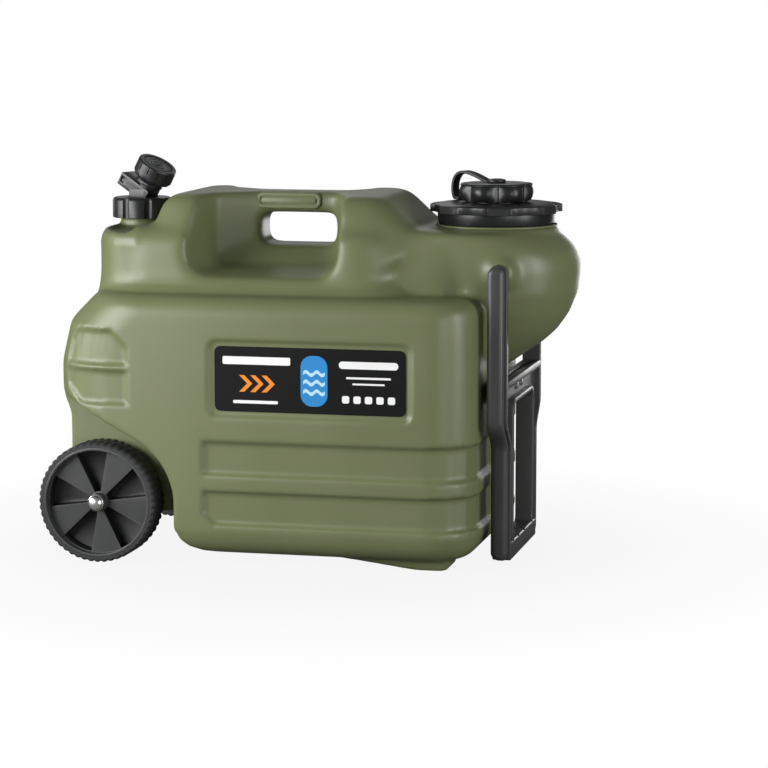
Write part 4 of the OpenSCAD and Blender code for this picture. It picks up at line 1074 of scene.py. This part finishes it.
# %% Tap body
VALVE_Z = 341
TAP_TURN = math.radians(-19)
TAP_LEAN = math.radians(30)
STEM_W = 20
STEM_TOP = 351
FLANGE_Z = 336.6
FLANGE_R = 20.35
SPIGOT_R = 15.85
SPIGOT_LOW = 326.5
INLET_R = 5
BARREL_R = 9.4
BARREL_TOP = 16
CHAMBER_R = 7.5
SPOUT_L = 28
SPOUT_BACK = 9
SPOUT_HALF = 9.9
SPOUT_LOW = 0.2
SPOUT_HIGH = 13.2
MOUTH_FRAME = 2
MOUTH_DEEP = 1.5
SLOT_X = (-26.2, -21.8)
SLOT_Z = (4, 10)
SLOT_DEEP = 2.5
ROOF_X = (-17, -13.5)
ROOF_DEEP = 3
ROOF_FRAME = 1.2
tap_place = Matrix.Translation((tap_x, 0, 0)) @ Matrix.Rotation(TAP_TURN, 4, "Z")
valve_place = tap_place @ Matrix.Translation((0, 0, VALVE_Z)) @ Matrix.Rotation(TAP_LEAN, 4, "Y")


def spout_shape():
    """Box spout with a framed mouth at its far end, a slot in each side and one in its roof."""
    shape = slab(((-SPOUT_L, -SPOUT_HALF), (SPOUT_BACK, -SPOUT_HALF), (SPOUT_BACK, SPOUT_HALF),
                  (-SPOUT_L, SPOUT_HALF)), SPOUT_LOW, SPOUT_HIGH)
    bmesh.ops.recalc_face_normals(shape, faces=shape.faces)
    mouth = [face for face in shape.faces if face.normal.x < -0.9]
    bmesh.ops.inset_region(shape, faces=mouth, thickness=MOUTH_FRAME, use_even_offset=True)
    press(shape, mouth, (MOUTH_DEEP, 0, 0))
    for x in SLOT_X:
        cut(shape, (x, 0, 0), (1, 0, 0))
    for z in SLOT_Z:
        cut(shape, (0, 0, z), (0, 0, 1))
    for side in (-1, 1):
        middle = Vector((sum(SLOT_X) / 2, side * SPOUT_HALF, sum(SLOT_Z) / 2))
        slot = [face for face in shape.faces if (face.calc_center_median() - middle).length < 0.5]
        press(shape, slot, (0, -SLOT_DEEP * side, 0))
    for x in ROOF_X:
        cut(shape, (x, 0, 0), (1, 0, 0))
    roof = [face for face in shape.faces
            if face.normal.z > 0.9 and ROOF_X[0] < face.calc_center_median().x < ROOF_X[1]]
    bmesh.ops.inset_region(shape, faces=roof, thickness=ROOF_FRAME, use_even_offset=True)
    press(shape, roof, (0, 0, -ROOF_DEEP))
    soften(shape, 0.7, 2)
    return shape


spigot = turned(((INLET_R, SPIGOT_LOW), (SPIGOT_R, SPIGOT_LOW), (SPIGOT_R, FLANGE_Z), (FLANGE_R, FLANGE_Z),
                 (FLANGE_R, FLANGE_Z + 3), (INLET_R, FLANGE_Z + 3)), 64)
stem = block(-STEM_W / 2, STEM_W / 2, -STEM_W / 2, STEM_W / 2, FLANGE_Z + 1, STEM_TOP, 1.6)
barrel = turned(((0, -3), (BARREL_R - 1, -3), (BARREL_R, -2), (BARREL_R, BARREL_TOP),
                 (CHAMBER_R, BARREL_TOP), (CHAMBER_R, 2), (0, 2)), 64, closed=False)
for name, shape, place in (("tap_spigot", spigot, Matrix.Translation((tap_x, 0, 0))),
                           ("tap_stem", stem, tap_place), ("tap_barrel", barrel, valve_place),
                           ("tap_spout", spout_shape(), valve_place)):
    make_piece(name, shape, place, black, "tap", ["tap_body"])

# %% [markdown]
# The gland nut closes the barrel, and the knob turns the valve spindle. The knob has a
# slot in its upper half at each grip and a scalloped lower edge, and a thin disc with
# raised rings is pressed into its top.

# %% Tap gland and knob
GLAND_R = 13.5
GLAND_H = 5
SPINDLE_R = 4.4
KNOB_LOW = 23
KNOB_R = 19.75
KNOB_H = 16.5
KNOB_N = 12
KNOB_BORE_R = 4.02
KNOB_SLOT_LOW = 8
KNOB_SLOT_HIGH = 14.5
KNOB_SLOT_DEEP = 1.5
KNOB_SLOT_SHARE = 0.1
KNOB_WAVE_TOP = 4.5
KNOB_WAVE_DEEP = 1.3
DISC_R = 14.75
DISC_T = 2


def knob_rule(radius, turn, height):
    """Radius of the knob: slots in the upper half, waves at the lower edge."""
    if radius < DISC_R + 1.5:
        return radius
    off = abs(phase(turn, KNOB_N, math.pi / KNOB_N)) * KNOB_N / math.pi
    if KNOB_SLOT_LOW < height < KNOB_SLOT_HIGH:
        return radius - KNOB_SLOT_DEEP * (off < KNOB_SLOT_SHARE)
    if height < KNOB_WAVE_TOP:
        return radius - KNOB_WAVE_DEEP * (1 - off) ** 2 * (KNOB_WAVE_TOP - height) / KNOB_WAVE_TOP
    return radius


gland = turned(((SPINDLE_R, -3), (CHAMBER_R - 0.1, -3), (CHAMBER_R - 0.1, 0), (GLAND_R, 0),
                (GLAND_R, GLAND_H - 1), (GLAND_R - 1, GLAND_H), (SPINDLE_R, GLAND_H)), 12)
soften(gland, 0.5, 2, 25)
make_piece("gland_nut", gland, valve_place @ Matrix.Translation((0, 0, BARREL_TOP)), black, "tap",
           ["tap_gland"])
knob = turned(((0, KNOB_H / 2), (KNOB_BORE_R, KNOB_H / 2), (KNOB_BORE_R, 0), (KNOB_R - 2.5, 0),
               (KNOB_R - 0.6, 1), (KNOB_R, 2.5), (KNOB_R, 4.6), (KNOB_R, 7.8), (KNOB_R, 8.1), (KNOB_R, 14.4),
               (KNOB_R, 14.7), (KNOB_R - 0.3, KNOB_H - 0.8), (KNOB_R - 1.2, KNOB_H), (DISC_R + 0.6, KNOB_H),
               (DISC_R, KNOB_H - 0.6), (DISC_R, KNOB_H - DISC_T), (0, KNOB_H - DISC_T)), 20 * KNOB_N,
              closed=False)
reshape(knob, knob_rule)
make_piece("knob_grip", knob, valve_place @ Matrix.Translation((0, 0, KNOB_LOW)), black, "knob",
           ["tap_knob"])
disc = turned(((0, 0), (DISC_R - 0.1, 0), (DISC_R - 0.1, 1), (DISC_R - 0.7, 1.4), (11, 1.4), (10.6, 1),
               (7.4, 1), (7, 1.5), (5.6, 1.5), (5.2, 1.1), (2.6, 1.1), (2, 1.6), (0, 1.7)), 64, closed=False)
badge_place = valve_place @ Matrix.Translation((0, 0, KNOB_LOW + KNOB_H - DISC_T))
make_piece("knob_badge", disc, badge_place, knob_grey, "knob", ["knob_disc"])

# %% [markdown]
# The grip carries one moulded mark on its front, a plain oval with a groove round it.
# The blown skin is too coarse to cut, so a low pad with soft edges lies on the grip, and
# two insets of its face give the land and the groove, which is pressed in.

# %% Oval mark on the grip
GRIP_MIDDLE = Vector((-33, -20, 342))
PAD_HALF = 32.5
PAD_H = 15.6
PAD_LOW = -3
PAD_HIGH = 1.5
PAD_LAND = 3.6
PAD_SOFT = 1.3
GROOVE_W = 1.7
GROOVE_DEEP = 1.4


def oval_pad():
    """A low pad with a groove that rings an oval."""
    shape = rounded_face(-PAD_HALF, PAD_HALF, -PAD_H / 2, PAD_H / 2, PAD_H / 2 - 1)
    bmesh.ops.translate(shape, vec=(0, 0, PAD_LOW), verts=shape.verts)
    oval = press(shape, shape.faces[:], (0, 0, PAD_HIGH - PAD_LOW))
    bmesh.ops.bevel(shape, geom=oval[0].edges[:], offset=PAD_SOFT, offset_type="OFFSET", segments=4,
                    profile=0.5, affect="EDGES", clamp_overlap=True, material=-1)
    oval = [max(shape.faces, key=lambda face: face.calc_center_median().z)]
    bmesh.ops.inset_region(shape, faces=oval, thickness=PAD_LAND - PAD_SOFT)
    groove = bmesh.ops.inset_region(shape, faces=oval, thickness=GROOVE_W)["faces"]
    press(shape, groove, (0, 0, -GROOVE_DEEP))
    soften(shape, 0.2, 2, 60)
    return shape


make_piece("oval_bead", oval_pad(), Matrix.Translation(GRIP_MIDDLE) @ upright_place, olive, "tank",
           ["tank_body"])

# %% [markdown]
# The label is a black printed film in a sunk field of the front wall. Its print is a
# plain design in the colours of the photograph, with no words: a blue field with waves
# for water, chevrons and bars. Each colour is a thin layer of flat shapes on the film.

# %% Label
LABEL_CORNER = Vector((-76.5, -132, 150))
LABEL_W = 185
LABEL_H = 62
LABEL_R = 6
FILM_T = 0.8
INK_T = 0.08
FILM_HAZE_MM = 14


def printed_film(name, ink):
    """Glossy printed film with a faint haze."""
    material, place = new_material(name)
    haze = add_node(material, "ShaderNodeTexNoise",
                    {"Vector": place, "Scale": per_metre(FILM_HAZE_MM), "Detail": 3.0})
    gloss = add_node(material, "ShaderNodeMapRange",
                     {"Value": haze.outputs["Fac"], "To Min": 0.5, "To Max": 0.64})
    return finish_material(material, add_node(material, "ShaderNodeBsdfPrincipled", {
        "Base Color": linear(ink), "Roughness": gloss.outputs[0], "IOR": 1.46, "Specular IOR Level": 0.2}))


def flat_bar(x0, x1, y0, y1, corner):
    """A bar of ink with round corners."""
    shape = rounded_face(x0, x1, y0, y1, corner)
    press(shape, shape.faces[:], (0, 0, INK_T))
    return shape


def wave(x0, x1, y, swing, thick):
    """A wavy stripe of ink."""
    steps = 24
    line = [(x0 + (x1 - x0) * i / steps, y + swing * math.sin(2 * math.tau * i / steps))
            for i in range(steps + 1)]
    return slab(line + [(x, low - thick) for x, low in reversed(line)], 0, INK_T)


def chevron(x, y, wide, high):
    """An arrow head of ink that points to the right."""
    half = high / 2
    return slab(((x, y - half), (x + wide, y - half), (x + wide + half, y), (x + wide, y + half),
                 (x, y + half), (x + half, y)), 0, INK_T)


film = rounded_face(0, LABEL_W, 0, LABEL_H, LABEL_R)
press(film, film.faces[:], (0, 0, FILM_T))
label_place = Matrix.Translation(LABEL_CORNER) @ upright_place
make_piece("label_film", film, label_place, printed_film("black_film", "#0B0C0D"), "tank",
           ["label_plate"])
ink_place = label_place @ Matrix.Translation((0, 0, FILM_T - INK_T / 2))
white_bars = ((8, 74, 45, 52.5, 1.5), (18, 62, 8, 11, 1.4), (121, 178, 43.5, 50.5, 3.4),
              (128, 171, 34, 36, 0.9), (134, 165, 28.5, 30.2, 0.8))
icon_bars = [(124 + 11 * i, 131 + 11 * i, 11, 18, 1.8) for i in range(5)]
inks = {
    "white_ink": ("#ECEDEC", [flat_bar(*bar) for bar in white_bars + tuple(icon_bars)]),
    "orange_ink": ("#E58A2C", [chevron(24 + 11 * i, 27, 5, 16) for i in range(3)]),
    "blue_ink": ("#2F86C6", [flat_bar(84, 110, 7, 55, 11)]),
}
wave_ink = ("#B5DAF0", [wave(86.5, 107.5, y, 1.6, 3.4) for y in (22, 31, 40)])
for name, (ink, shapes) in inks.items():
    make_piece(name, gather(shapes), ink_place, printed_film(name + "_film", ink), "tank",
               ["label_plate"])
make_piece("wave_ink", gather(wave_ink[1]), ink_place @ Matrix.Translation((0, 0, INK_T / 2)),
           printed_film("wave_ink_film", wave_ink[0]), "tank", ["label_plate"])

# %% [markdown]
# Last, the small pieces that stay as they were constructed get their finish.

# %% Finish
CAD_FINISHES = {
    "axle": steel, "handle_pins": steel, "tap_spindle": steel,
    "bumper_screws": chrome,
    "lid_seal": seal, "vent_seal": seal, "tap_seal": seal, "tap_washer": seal, "handle_bumper": seal,
}
for node, cad_object in frame["nodes"].items():
    finish = CAD_FINISHES.get(node, black)
    cad_object.data.materials.clear()
    cad_object.data.materials.append(finish)
